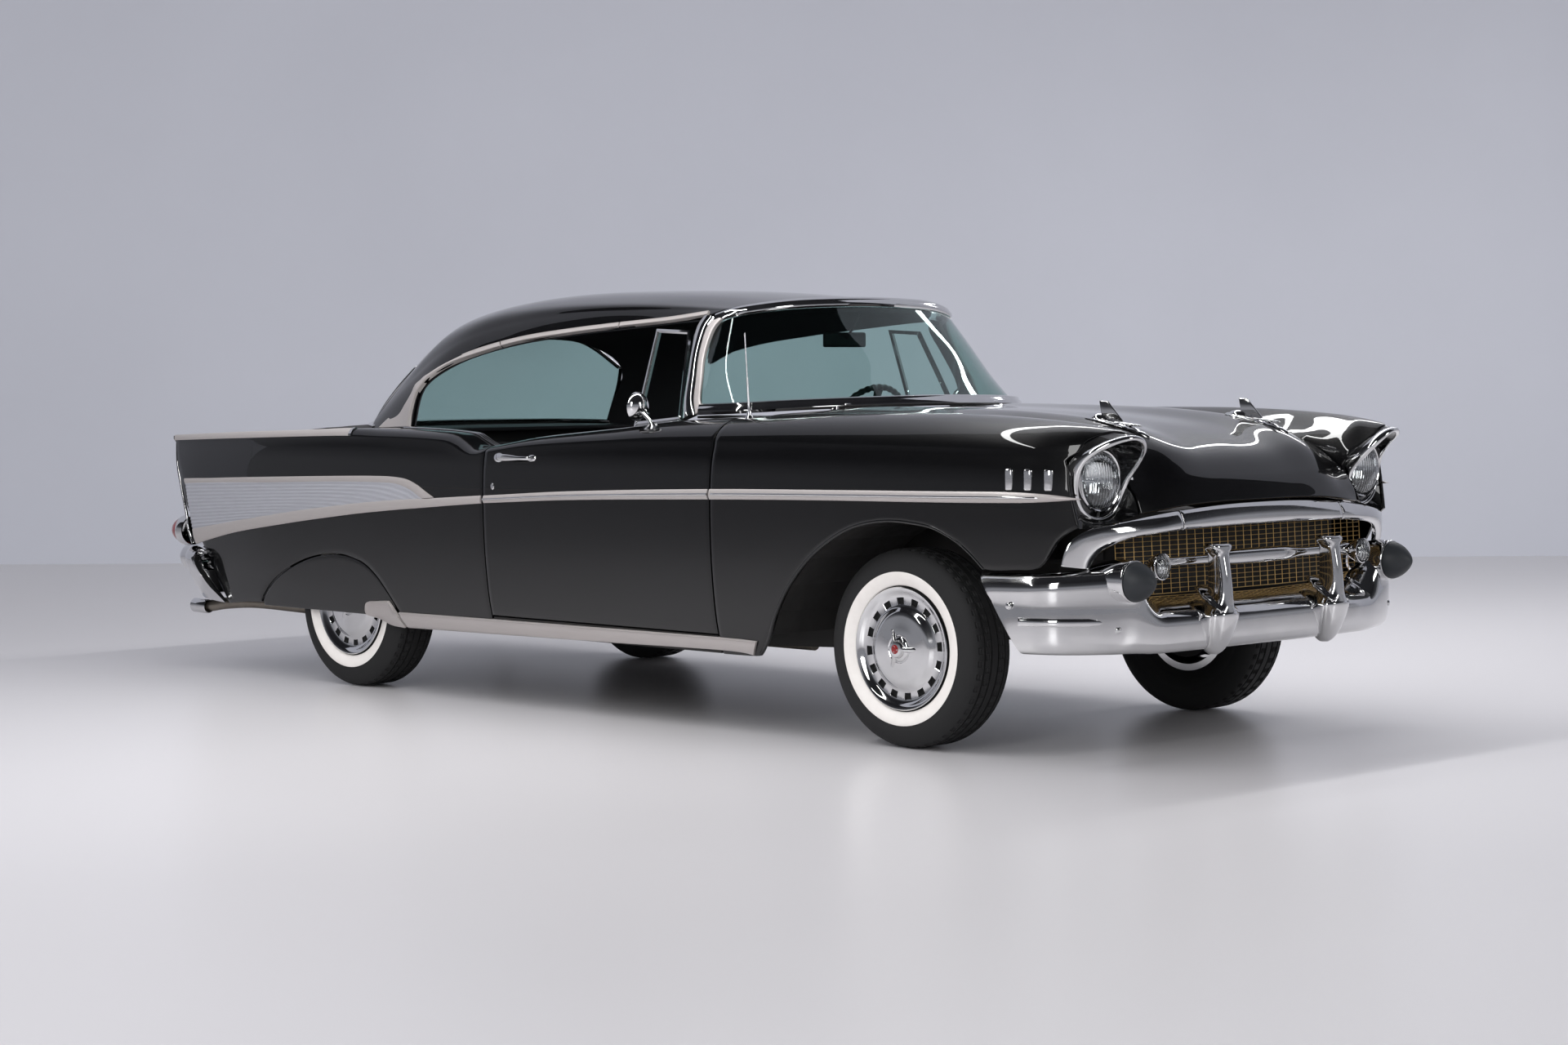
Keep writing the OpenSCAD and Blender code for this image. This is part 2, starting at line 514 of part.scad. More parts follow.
module rear_bumper() {
  mirror([1, 0, 0]) {
    bumper_bar(rear_line, rear_section, 32, 0.73);
    for (s = [-1, 1]) scale([1, s, 1])
      translate([2380, 752, 455]) rotate([0, 90, 0]) rotate_extrude()
        polygon([[0, 0], [54, 0], [60, 60], [58, 110], [48, nose - 2384], [38, nose - 2380], [30, 150],
          [0, 150]]);
  }
}

module grille() {
  for (i = [0:7]) let (z = 528 + i * 25) ring([for (c = [[0, 4], [6, 4], [6, 0],
    [0, 0]]) [for (k = [-8:8])
    [2372 - 30 * pow(k / 8, 2) + c[0], k * 78, z + c[1]]]]);
  for (i = [-3:3]) let (x = 2372 - 30 * pow(i / 3, 2)) block([x, i * 200 - 2, 522],
    [x + 6, i * 200 + 2, 716]);
}
// lip over the grille: its upper and lower edges, and its section as [share of the way down, outwards, up]
lip_top = [[2432, 0, 796], [2430, 200, 793], [2422, 400, 783], [2410, 540, 770], [2390, 680, 751],
  [2352, 780, 733],
  [2318, 838, 690], [2300, 852, 622]];
lip_low = [[2440, 0, 729], [2439, 200, 728], [2436, 400, 724], [2430, 540, 717], [2400, 656, 702],
  [2366, 728, 672],
  [2346, 756, 640], [2338, 764, 612]];
lip_section = [[0, 0, 0], [0.3, 11, 0], [0.8, 14, 0], [1, 5, -4], [1, -10, 2], [0.5, -3, 0],
  [0.1, -8, 0]];
module lip(n = 36) {
  mirror_top = concat([for (i = [7:-1:1]) [lip_top[i][0], -lip_top[i][1], lip_top[i][2]]], lip_top);
  mirror_low = concat([for (i = [7:-1:1]) [lip_low[i][0], -lip_low[i][1], lip_low[i][2]]], lip_low);
  ring([for (c = lip_section) [for (i = [0:n])
    let (u = i / n, t = path(mirror_top, u), l = path(mirror_low, u),
      d = path(mirror_top, min(u + 0.01, 1)) - path(mirror_top, max(u - 0.01, 0)), o = unit(cross(d,
        t - l)))
    t * (1 - c[0]) + l * c[0] + c[1] * o + [0, 0, c[2]]]]);
}
module grille_surround() {
  lip();
  // floating bar, fuller in the middle, and the lamps at its ends
  ring([for (k = [11:-1:0]) [for (i = [0:24]) let (y = -512 + 1024 * i / 24, w = exp(-pow(y / 205, 6)))
    [2404 + (15 + 8 * w) * cos(30 * k), y, 620 + (15 + 11 * w) * sin(30 * k)]]]);
  for (s = [-1, 1]) scale([1, s, 1]) translate([2392, 540, 611]) rotate([0, 90, 0])
    rotate_extrude() polygon([[0, 0], [16, 0], [34, 26], [43, 52], [39, 58], [33, 60], [11, 69],
      [0, 70]]);
}
// bezel swept round its outline, brow at the top, and the lamp inside it
bezel_section = [[-6, -30], [-15, -8], [-13, 5], [-3, 6], [2, -8], [0, -30]];
module headlamp() {
  points = bezel_points();
  loop([for (c = bezel_section) [for (p = points)
    let (d = unit([p[0], (p[1] - lamp_z) * 0.9])) [p[2] + c[1], lamp_y + p[0] + c[0] * d[0],
      p[1] + c[0] * d[1]]]]);
  translate([lamp_x + 22, lamp_y, lamp_z]) rotate([0, 90, 0]) rotate_extrude()
    polygon([[0, -30], [lamp_r + 4, -14], [lamp_r + 6, -2], [lamp_r + 2, 6], [lamp_r - 5, 6], [70, 15],
      [24, 26], [0, 27]]);
}
module tail_lamp() {
  translate([-2370, lamp_rear_y, lamp_rear_z]) rotate([0, -90, 0]) rotate_extrude()
    polygon([[0, -30], [56, -30], [64, 40], [60, 90], [48, 116], [44, 104], [30, 122], [0, 130]]);
}

module frame() {
  for (s = [-1, 1]) scale([1, s, 1]) {
    translate([0, 0, 270]) linear_extrude(84)
      polygon([[1300, 315], [1300, 395], [1250, 400], [600, 700], [-700, 700], [-900, 560],
        [-1010, 560], [-1010, 470],
        [-950, 470], [-760, 610], [500, 610], [1200, 320]]);
    // the rails step up over the rear axle
    block([-1010, 470, 270], [-966, 560, 465]);
    block([-2300, 470, 385], [-966, 560, 465]);
    block([1250, 316, 330], [2340, 394, 420]);
  }
  block([2200, -330, 345], [2270, 330, 405]);
  block([axle_f - 60, -330, 335], [axle_f + 60, 330, 415]);
  block([500, -620, 290], [580, 620, 345]);
  block([-780, -620, 290], [-700, 620, 345]);
  block([-2290, -480, 395], [-2220, 480, 455]);
}
// floor, sills, dash panel, aprons and wheelhouses
tunnel_h = 56;
floor_line = [[-730, 0], [-730, 20], [-170, 20], [-124, tunnel_h], [124, tunnel_h], [170, 20],
  [730, 20], [730, 0],
  [156, 0], [112, tunnel_h - 18], [-112, tunnel_h - 18], [-156, 0]];
seat_base = floor_z + 16 + tunnel_h + 0.3;
rear_pan_z = floor_z + 143;
module floor_pan() {
  translate([-960, 0, floor_z + 16]) rotate([90, 0, 90]) linear_extrude(1742) polygon(floor_line);
  difference() {
    block([780, -712, floor_z + 16], [800, 712, 1050]);
    block([770, -112, floor_z], [810, 112, floor_z + tunnel_h - 2]);
  }
  block([-960, -626, floor_z + 16], [-948, 626, rear_pan_z]);
  block([-1240, -626, rear_pan_z - 18], [-948, 626, rear_pan_z]);
  block([-1240, -626, rear_pan_z - 18], [-1220, 626, 985]);
  block([-2395, -600, floor_z + 150], [-1230, 600, floor_z + 168]);
  block([-2395, -630, floor_z + 150], [-2380, 630, 630]);
  block([-1700, -610, 974], [-1230, 610, 988]);
  // wall behind the grille and the shelf under it
  block([2296, -560, 480], [2308, 560, 770]);
  block([2300, -400, 500], [2370, 400, 512]);
  cowl();
  deck();
  for (s = [-1, 1]) scale([1, s, 1]) {
    // outer sill, sill box and the post in front of the door
    rocker = [for (z = [sill_z + 2, sill_z + 32, door_bottom]) [for (i = [0:6])
      let (x = door_rear + 4 + (door_front - door_rear - 8) * i / 6) [x, body_y(x, z) - 1, z]]];
    between(rocker, [for (row = rocker) [for (p = row) p - [0, 40, 0]]]);
    block([-865, 720, door_bottom - 10], [824, 784, floor_z + 20]);
    block([-865, 780, sill_z + 2], [824, 850, door_bottom]);
    block([600, 690, floor_z + 20], [800, 712, 1054]);
    // front wheelhouse and its wall
    liner([for (p = front_arch) if (p[0] > 1060 && p[0] < 2060) p], 500);
    difference() {
      translate([0, 500, 0]) rotate([90, 0, 0]) linear_extrude(12)
        polygon(concat([[800, 1030], [800, 400], [1106, 424]],
          [for (q = front_arch) if (q[0] > 1110 && q[0] < 2060) [q[0], q[1] + 6]], [[2180, 620],
          [2180, 930]]));
      block([axle_f - 90, 480, 200], [axle_f + 90, 520, 560]);
    }
    // rear wheelhouse and its wall
    liner([for (a = [180:-12:0]) [axle_r + 350 * cos(a), tyre_r + 350 * sin(a)]], 626);
    translate([0, 638, 0]) rotate([90, 0, 0]) linear_extrude(12) difference() {
      translate([axle_r, tyre_r]) circle(r = 358);
      translate([axle_r - 400, -100]) square([800, tyre_r + 150]);
    }
  }
}
module liner(arch, y0) {
  ring([for (d = [[0, 2], [1, 2], [1, 12], [0, 12]]) [for (p = arch)
    [p[0], d[0] == 0 ? y0 : body_y(p[0], p[1]) - skin - 5, p[1] + d[1]]]]);
}
module front_suspension() {
  for (s = [-1, 1]) scale([1, s, 1]) {
    bar([axle_f, 408, 340], [axle_f, king_y - 42, 262], 22);
    bar([axle_f, 380, 480], [axle_f, king_y - 36, 440], 18);
    translate([axle_f, 450, 300]) cylinder(h = 180, r = 52);
  }
}
module knuckle() {
  translate([axle_f, king_y, 225]) cylinder(h = 240, r = 20);
  corner(true, 1) hub(-125);
}
module rear_axle() {
  translate([axle_r, 0, tyre_r]) {
    rotate([90, 0, 0]) cylinder(h = rear_track - 140, r = 40, center = true);
    sphere(r = 130);
  }
  for (s = [-1, 1]) {
    corner(false, s) hub(-120);
    scale([1, s, 1]) block([axle_r - 720, 566, 276], [axle_r + 400, 616, 298]);
  }
}
module engine() {
  block([1080, -260, 420], [1800, 260, 900]);
  block([812, -150, 385], [1080, 150, 620]);
}
module exhaust() {
  for (s = [-1, 1]) scale([1, s, 1]) {
    bar([800, 400, 262], [-900, 400, 262], 24);
    translate([-900, 400, 262]) sphere(r = 27);
    bar([-900, 400, 262], [-1500, 400, 228], 24);
    translate([-1500, 400, 228]) sphere(r = 27);
    bar([-1500, 400, 228], [-2240, 744, 234], 24);
    translate([-2240, 744, 234]) sphere(r = 27);
    bar([-2240, 744, 234], [-2400, 804, 256], 24);
    translate([-600, 400, 290]) rotate([0, 90, 0]) cylinder(h = 560, r = 60);
  }
}
module fuel_tank() {
  block([-2200, -400, 300], [-1650, 400, 490]);
}
// bench seat: cushion and a leaning back, each a soft block
module seat(x, base, w, back_h) {
  rotate([90, 0, 0]) linear_extrude(2 * w, center = true)
    polygon([[x, base], [x + 6, base + 120], [x - 30, base + 170], [x - 430, base + 150],
      [x - 560, base + back_h],
      [x - 640, base + back_h + 12], [x - 690, base + back_h - 10], [x - 560, base]]);
}
module front_seat() {
  seat(190, seat_base, 640, 450);
}
module rear_seat() {
  rotate([90, 0, 0]) linear_extrude(1216, center = true)
    polygon([[-520, seat_base], [-514, 540], [-550, 602], [-950, 588], [-1085, 850], [-1165, 862],
      [-1212, 840],
      [-1120, rear_pan_z + 0.3], [-946, rear_pan_z + 0.3], [-946, seat_base]]);
}
module dashboard() {
  rotate([90, 0, 0]) linear_extrude(1380, center = true)
    polygon([[779, 1040], [700, 1050], [560, 1030], [520, 1000], [526, 960], [560, 900], [600, 780],
      [640, 780], [640, 900], [779, 900]]);
}
module steering_wheel() {
  translate([300, 370, 960]) rotate([0, -65, 0]) {
    rotate_extrude($fn = 40) translate([wheel_rim_r, 0]) circle(r = 11, $fn = 12);
    block([-wheel_rim_r, -14, -4], [wheel_rim_r, 14, 4]);
    translate([0, 0, -230]) cylinder(h = 240, r = 28);
  }
}
module door_mirror() {
  translate([451, 0, 0]) {
    translate([0, 836, 1041.3]) cylinder(h = 14, r1 = 18, r2 = 9);
    translate([-10, 842, 1092]) rotate([0, -90, 0]) rotate_extrude() polygon([[0, -40], [20, -36],
      [44, -18], [58, 10], [58, 22], [52, 22], [0, 18]]);
    translate([-6, 838, 1044]) cylinder(h = 30, r = 7);
  }
}

color("dimgray") frame();
color("gray") floor_pan();
color("gray") front_suspension();
color("gray") rear_axle();
color("gray") engine();
color("silver") exhaust();
color("gray") fuel_tank();
color("gray") left() knuckle();  // knuckle_left
color("gray") right() knuckle();  // knuckle_right
color("black") corner(true, 1) tyre();  // tyre_front_left
color("black") corner(true, -1) tyre();  // tyre_front_right
color("black") corner(false, 1) tyre();  // tyre_rear_left
color("black") corner(false, -1) tyre();  // tyre_rear_right
color("silver") corner(true, 1) wheel(1.24);  // wheel_front_left
color("silver") corner(true, -1) wheel(1.24);  // wheel_front_right
color("silver") corner(false, 1) wheel(1.12);  // wheel_rear_left
color("silver") corner(false, -1) wheel(1.12);  // wheel_rear_right
color("black") left() fender();  // fender_left
color("black") right() fender();  // fender_right
color("black") left() door();  // door_left
color("black") right() door();  // door_right
color("black") left() quarter();  // quarter_left
color("black") right() quarter();  // quarter_right
color("black") left() skirt();  // skirt_left
color("black") right() skirt();  // skirt_right
color("black") hood();
color("black") trunk_lid();
color("black") roof();
color("silver") windshield_frame();
color("teal") windshield();
color("teal") rear_glass();
color("gold") grille();
color("silver") grille_surround();
color("silver") left() headlamp();  // headlamp_left
color("silver") right() headlamp();  // headlamp_right
color("red") left() tail_lamp();  // tail_lamp_left
color("red") right() tail_lamp();  // tail_lamp_right
color("silver") front_bumper();
color("silver") rear_bumper();
color("gray") front_seat();
color("gray") rear_seat();
color("black") dashboard();
color("darkgreen") steering_wheel();
color("silver") left() door_mirror();  // door_mirror_left
color("silver") right() door_mirror();  // door_mirror_right
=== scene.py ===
import math

import bpy
import numpy as np
from mathutils import Matrix, Vector


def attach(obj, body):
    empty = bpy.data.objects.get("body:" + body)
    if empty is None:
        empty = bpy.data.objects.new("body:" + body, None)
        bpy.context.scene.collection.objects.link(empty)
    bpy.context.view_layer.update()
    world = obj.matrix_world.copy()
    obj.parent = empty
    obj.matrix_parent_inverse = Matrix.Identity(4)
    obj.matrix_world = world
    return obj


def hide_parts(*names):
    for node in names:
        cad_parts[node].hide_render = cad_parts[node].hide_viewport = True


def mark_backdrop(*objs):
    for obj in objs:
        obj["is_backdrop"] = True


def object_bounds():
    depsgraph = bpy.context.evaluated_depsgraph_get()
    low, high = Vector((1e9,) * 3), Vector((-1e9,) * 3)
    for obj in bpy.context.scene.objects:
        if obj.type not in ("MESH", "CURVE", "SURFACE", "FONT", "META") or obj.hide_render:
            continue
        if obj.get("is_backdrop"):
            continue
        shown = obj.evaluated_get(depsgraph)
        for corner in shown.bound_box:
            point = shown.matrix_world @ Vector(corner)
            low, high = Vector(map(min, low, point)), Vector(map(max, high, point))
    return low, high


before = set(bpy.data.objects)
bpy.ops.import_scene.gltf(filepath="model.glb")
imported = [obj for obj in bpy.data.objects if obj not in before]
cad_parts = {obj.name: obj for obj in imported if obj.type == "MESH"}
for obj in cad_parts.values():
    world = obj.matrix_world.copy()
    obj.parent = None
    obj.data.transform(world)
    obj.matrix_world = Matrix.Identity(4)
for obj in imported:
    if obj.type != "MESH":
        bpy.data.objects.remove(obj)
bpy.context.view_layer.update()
mm = 0.001
sides = {"left": 1, "right": -1}

# lines of the body, in millimetres, the same as the solids are built on
bodyLines = {
    "plan": [[-2540, 852], [-2300, 882], [-1900, 908], [-1311, 922], [-400, 932], [400, 934], [1200, 932],
             [1700, 924], [2050, 906], [2200, 884], [2300, 850], [2350, 822], [2400, 790], [2450, 740]],
    "inset": [[240, 66], [300, 46], [400, 24], [550, 7], [700, 0], [830, 0], [900, 6], [960, 18], [1010, 36]],
    "crease": [[-2540, 934], [-1984, 950], [-1231, 968], [-619, 960], [-466, 916], [-381, 925], [-150, 950],
               [291, 968], [826, 974], [2264, 966], [2470, 985]],
    "topZ": [[-2540, 960], [-1984, 982], [-1539, 995], [-1231, 1006], [-1028, 1008], [-800, 1005], [-619, 995],
             [-540, 968], [-466, 946], [-381, 953], [-150, 985], [118, 1009], [291, 1024], [510, 1048], [826, 1066],
             [1146, 1079], [1516, 1085], [1868, 1082], [2202, 1064], [2400, 1038], [2465, 1016]],
    "topY": [[-2540, 842], [-1984, 868], [-1231, 872], [-1028, 852], [-619, 846], [-466, 848], [-150, 840],
             [291, 812], [510, 784], [826, 756], [1146, 744], [2202, 726], [2465, 694]],
    "frontArch": [[832, 262], [985, 264], [1018, 274], [1045, 305], [1073, 340], [1117, 418], [1185, 511],
                  [1281, 604], [1376, 668], [1469, 712], [1561, 735], [1652, 744], [1742, 740], [1830, 727],
                  [1918, 691], [1978, 651], [2030, 605], [2120, 606], [2180, 618], [2222, 700], [2264, 740]],
    "rearArch": [[-2199, 284], [-2000, 298], [-1870, 302], [-1857, 316], [-1769, 384], [-1675, 434], [-1552, 480],
                 [-1430, 510], [-1311, 522], [-1208, 516], [-1121, 493], [-1049, 448], [-992, 389], [-957, 343],
                 [-925, 300], [-870, 264], [-600, 262], [-378, 262]],
    "hoodEdge": [[826, 646], [1000, 644], [1500, 632], [2000, 614], [2240, 592], [2330, 587], [2400, 590]],
    "hoodEdgeZ": [[826, 1068], [1000, 1073], [1420, 1067], [1800, 1048], [2140, 984], [2300, 906], [2372, 834]],
    "fenderEnd": [[0, 2345], [0.2, 2335], [0.4, 2326], [0.6, 2318], [0.8, 2312], [0.92, 2304], [1, 2334],
                  [1.3, 2350], [1.6, 2386], [2, 2428], [2.25, 2428], [2.5, 2424], [2.75, 2386], [3, 2320]],
    "quarterEnd": [[0, -2112], [0.2, -2182], [0.4, -2266], [0.6, -2366], [0.8, -2420], [1, -2478], [2, -2500],
                   [3, -2490]],
    "deckEdge": [[-2500, 640], [-2000, 640], [-1700, 641], [-1420, 668], [-1064, 724], [-600, 740], [-378, 745]],
    "deckZ": [[-2500, 900], [-2330, 916], [-2150, 950], [-1950, 978], [-1700, 996], [-1420, 1002], [-1064, 1008],
              [-619, 990], [-540, 960], [-466, 938], [-378, 948]],
    "gap": 6, "skin": 14, "doorFront": 826, "doorRear": -372, "doorBottom": 331, "doorThick": 100,
}
netLines = {
    "hood": [
        [[2434, 0, 804], [2400, 0, 884], [2310, 0, 968], [2120, 0, 1030], [1800, 0, 1068], [1450, 0, 1086],
         [1090, 0, 1094]],
        [[2430, 190, 803], [2396, 190, 886], [2306, 190, 970], [2116, 190, 1032], [1800, 190, 1068],
         [1450, 190, 1086], [1086, 190, 1094]],
        [[2424, 372, 797], [2386, 372, 890], [2300, 372, 984], [2120, 372, 1050], [1800, 372, 1084],
         [1430, 372, 1096], [1068, 372, 1100]],
        [[2412, 500, 786], [2374, 490, 860], [2290, 490, 946], [2120, 490, 1018], [1800, 500, 1066],
         [1430, 510, 1084], [1030, 520, 1090]],
        [[2396, 582, 776], [2372, 583, 836], [2300, 584, 908], [2140, 599, 986], [1800, 618, 1050],
         [1420, 632, 1068], [990, 642, 1074]]],
    "trunk": [
        [[-1736, 0, 1010], [-1950, 0, 996], [-2150, 0, 968], [-2330, 0, 922], [-2404, 0, 866], [-2416, 0, 760],
         [-2416, 0, 640]],
        [[-1734, 330, 1009], [-1950, 330, 994], [-2150, 330, 966], [-2330, 330, 919], [-2402, 330, 864],
         [-2414, 330, 760], [-2414, 330, 640]],
        [[-1728, 631, 1000], [-1950, 631, 982], [-2150, 631, 952], [-2325, 631, 906], [-2390, 631, 852],
         [-2402, 631, 760], [-2402, 631, 640]]],
    "roof": [
        [[650, 0, 1478], [240, 0, 1512], [-180, 0, 1526], [-560, 0, 1522], [-880, 0, 1492], [-1120, 0, 1440],
         [-1290, 0, 1368]],
        [[610, 330, 1466], [210, 335, 1500], [-200, 340, 1514], [-560, 340, 1508], [-870, 340, 1477],
         [-1100, 338, 1428], [-1280, 335, 1356]],
        [[530, 505, 1446], [130, 535, 1468], [-240, 548, 1472], [-570, 552, 1458], [-830, 556, 1424],
         [-1060, 552, 1356], [-1250, 545, 1242]],
        [[490, 550, 1434], [110, 574, 1440], [-240, 592, 1432], [-600, 612, 1396], [-900, 632, 1325],
         [-1170, 646, 1180], [-1420, 636, 1008]],
        [[459, 575, 1419], [100, 604, 1387], [-230, 625, 1362], [-560, 645, 1325], [-860, 665, 1259],
         [-1030, 694, 1170], [-1064, 722, 1012]]],
    "windshield": [
        [[700, 0, 1454], [790, 0, 1336], [885, 0, 1212], [975, 0, 1108]],
        [[662, 330, 1446], [745, 370, 1330], [825, 408, 1208], [905, 445, 1102]],
        [[582, 540, 1420], [625, 610, 1312], [680, 668, 1196], [760, 708, 1090]],
        [[512, 592, 1388], [524, 655, 1280], [540, 702, 1180], [580, 738, 1086]]],
    "rearGlass": [
        [[-1298, 0, 1360], [-1440, 0, 1262], [-1580, 0, 1140], [-1700, 0, 1020]],
        [[-1288, 335, 1348], [-1420, 370, 1250], [-1545, 405, 1132], [-1650, 430, 1016]],
        [[-1258, 534, 1236], [-1314, 570, 1166], [-1376, 596, 1088], [-1428, 612, 1010]]],
}


def smooth(table, x):
    i = 0
    while i < len(table) - 2 and x >= table[i + 1][0]:
        i += 1
    last = len(table) - 1

    def slope(k):
        a, b = max(0, k - 1), min(last, k + 1)
        return (table[b][1] - table[a][1]) / (table[b][0] - table[a][0])

    h = table[i + 1][0] - table[i][0]
    s = (x - table[i][0]) / h
    return ((2 * s ** 3 - 3 * s * s + 1) * table[i][1] + (s ** 3 - 2 * s * s + s) * h * slope(i)
            + (3 * s * s - 2 * s ** 3) * table[i + 1][1] + (s ** 3 - s * s) * h * slope(i + 1))


def onPath(points, u):  # a smooth curve through evenly numbered points
    points = np.asarray(points, float)
    w = min(max(u, 0), 1) * (len(points) - 1)
    i = min(int(w), len(points) - 2)
    s = w - i
    a, b, c, d = (points[min(max(k, 0), len(points) - 1)] for k in (i - 1, i, i + 1, i + 2))
    return b + (c - a) * s / 2 + (a * 2 - b * 5 + c * 4 - d) * s * s / 2 + (b * 3 - a - c * 3 + d) * s ** 3 / 2


def closedPath(points, count):
    n = len(points)
    wide = points[-2:] + points + points[:3]
    return [onPath(wide, (2 + n * i / count) / (len(wide) - 1)) for i in range(count)]


def circle(count):
    return np.linspace(0, 2 * math.pi, count + 1)[:-1]


def line3(points, side):
    return [[x, y * side, z] for x, y, z in points]


def wholeLine(half):  # from a half line that starts in the middle
    return line3(half[:0:-1], -1) + half


def bothHalves(net):
    return [[[x, -y, z] for x, y, z in row] for row in net[:0:-1]] + net


def onNet(net, u, v):
    return onPath([onPath(row, u) for row in net], v)


def netRows(net, across, along):
    return [[onNet(net, i / along, j / across) for i in range(along + 1)] for j in range(across + 1)]


def bodyY(x, z):
    return smooth(bodyLines["plan"], x) - smooth(bodyLines["inset"], z)


def sidePoint(x, bottom, v):  # v 0 at the lower edge, 1 at the crease, 2 at the top
    zc, zt = smooth(bodyLines["crease"], x), smooth(bodyLines["topZ"], x)
    yc, yt = bodyY(x, zc), smooth(bodyLines["topY"], x)
    if v <= 1:
        z = bottom + (zc - bottom) * v
        return [x, bodyY(x, z), z]
    turn = math.pi / 2 * (v - 1)
    return [x, yt + (yc - yt) * math.cos(turn), zc + (zt - zc) * math.sin(turn)]


def inward(v):
    turn = 0 if v <= 1 else math.pi / 2 * min(v - 1, 1)
    return np.array([0, math.cos(turn), math.sin(turn)])


def fenderPoint(p, v):
    end = smooth(bodyLines["fenderEnd"], v)
    x = p[0] if p[0] <= 2030 else 2030 + (p[0] - 2030) * (end - 2030) / 234
    if v <= 2:
        return sidePoint(x, p[1], v)
    # from the top of the fender down into the valley beside the hood
    a, w = sidePoint(x, p[1], 2), v - 2
    ys, zs = smooth(bodyLines["hoodEdge"], min(x, 2400)) + bodyLines["gap"], smooth(bodyLines["hoodEdgeZ"], x)
    k = max(0, min(1, (x - 2050) / 280))
    down = w * w * (3 - 2 * w) * (1 - k) + (1 - math.sqrt(max(0, 1 - w * w))) * k
    return [x, a[1] + (ys - a[1]) * w, a[2] + (zs - a[2]) * down]


def quarterPoint(p, v):
    end = smooth(bodyLines["quarterEnd"], v)
    x = p[0] if p[0] >= -1870 else -1870 + (p[0] + 1870) * (end + 1870) / (1870 - 2199)
    if v <= 2:
        return sidePoint(x, p[1], v)
    a, w = sidePoint(x, p[1], 2), v - 2
    k = math.sqrt(w) if x < -1231 else w
    return [x, a[1] + (smooth(bodyLines["deckEdge"], x) - a[1]) * w, a[2] + (smooth(bodyLines["deckZ"], x) - a[2]) * k]


# modelling helpers
def active():
    return bpy.context.active_object


def only(piece):
    bpy.ops.object.select_all(action="DESELECT")
    piece.select_set(True)
    bpy.context.view_layer.objects.active = piece


def editAll(piece):
    only(piece)
    bpy.ops.object.mode_set(mode="EDIT")
    bpy.ops.mesh.select_all(action="SELECT")


def objectMode():
    bpy.ops.object.mode_set(mode="OBJECT")


def tidyNormals(piece, merge=0.00001):
    editAll(piece)
    bpy.ops.mesh.remove_doubles(threshold=merge)
    bpy.ops.mesh.normals_make_consistent(inside=False)
    objectMode()


def applied(piece, kind, **values):
    only(piece)
    modifier = piece.modifiers.new(kind.title(), kind)
    for key, value in values.items():
        setattr(modifier, key, value)
    bpy.ops.object.modifier_apply(modifier=modifier.name)


def softEdges(piece, width=1.5, segments=2, angle=50):
    applied(piece, "BEVEL", width=width * mm, segments=segments, limit_method="ANGLE", angle_limit=math.radians(angle),
            use_clamp_overlap=True)


def shade(piece, angle=38):
    only(piece)
    bpy.ops.object.shade_smooth_by_angle(angle=math.radians(angle))


def laidGrid(name, rows):  # a grid primitive, each point laid on the surface
    bpy.ops.object.select_all(action="DESELECT")
    bpy.ops.mesh.primitive_grid_add(x_subdivisions=len(rows[0]) - 1, y_subdivisions=len(rows) - 1, size=1)
    piece = active()
    piece.name = piece.data.name = name
    piece.data.vertices.foreach_set("co", (np.array(rows, float) * mm).ravel())
    return piece


def meshPoints(piece):
    co = np.zeros(len(piece.data.vertices) * 3)
    piece.data.vertices.foreach_get("co", co)
    return co.reshape(-1, 3)


def facing(rows, amount):
    g = np.array(rows, float)
    du, dv = np.gradient(g, axis=1), np.gradient(g, axis=0)
    n = np.cross(du, dv)
    return g + amount * n / np.maximum(np.linalg.norm(n, axis=2, keepdims=True), 1e-9)


def laidShell(name, outer, inner, bevel=1.5, angle=38):  # a sheet with its own second face, closed at the rim
    piece = laidGrid(name, outer)
    count = len(piece.data.vertices)
    applied(piece, "SOLIDIFY", thickness=0.004, offset=-1)
    co = meshPoints(piece)
    co[:count] = (np.array(outer, float) * mm).reshape(-1, 3)
    co[count:] = (np.array(inner, float) * mm).reshape(-1, 3)
    piece.data.vertices.foreach_set("co", co.ravel())
    tidyNormals(piece)
    if bevel:
        softEdges(piece, bevel)
    shade(piece, angle)
    return piece


def laidTube(name, stations, capped=True, bevel=0, angle=38):  # closed section carried along stations
    rows = [list(s) + [s[0]] for s in stations]
    piece = laidGrid(name, rows)
    editAll(piece)
    bpy.ops.mesh.remove_doubles(threshold=0.000005)
    if capped:
        bpy.ops.mesh.select_all(action="DESELECT")
        bpy.ops.mesh.select_mode(type="EDGE")
        bpy.ops.mesh.select_non_manifold(extend=False, use_wire=False, use_boundary=True, use_multi_face=False,
                                         use_non_contiguous=False, use_verts=False)
        bpy.ops.mesh.fill_holes(sides=0)
        bpy.ops.mesh.select_all(action="SELECT")
    bpy.ops.mesh.normals_make_consistent(inside=False)
    bpy.ops.mesh.select_mode(type="VERT")
    objectMode()
    if bevel:
        softEdges(piece, bevel)
    shade(piece, angle)
    return piece


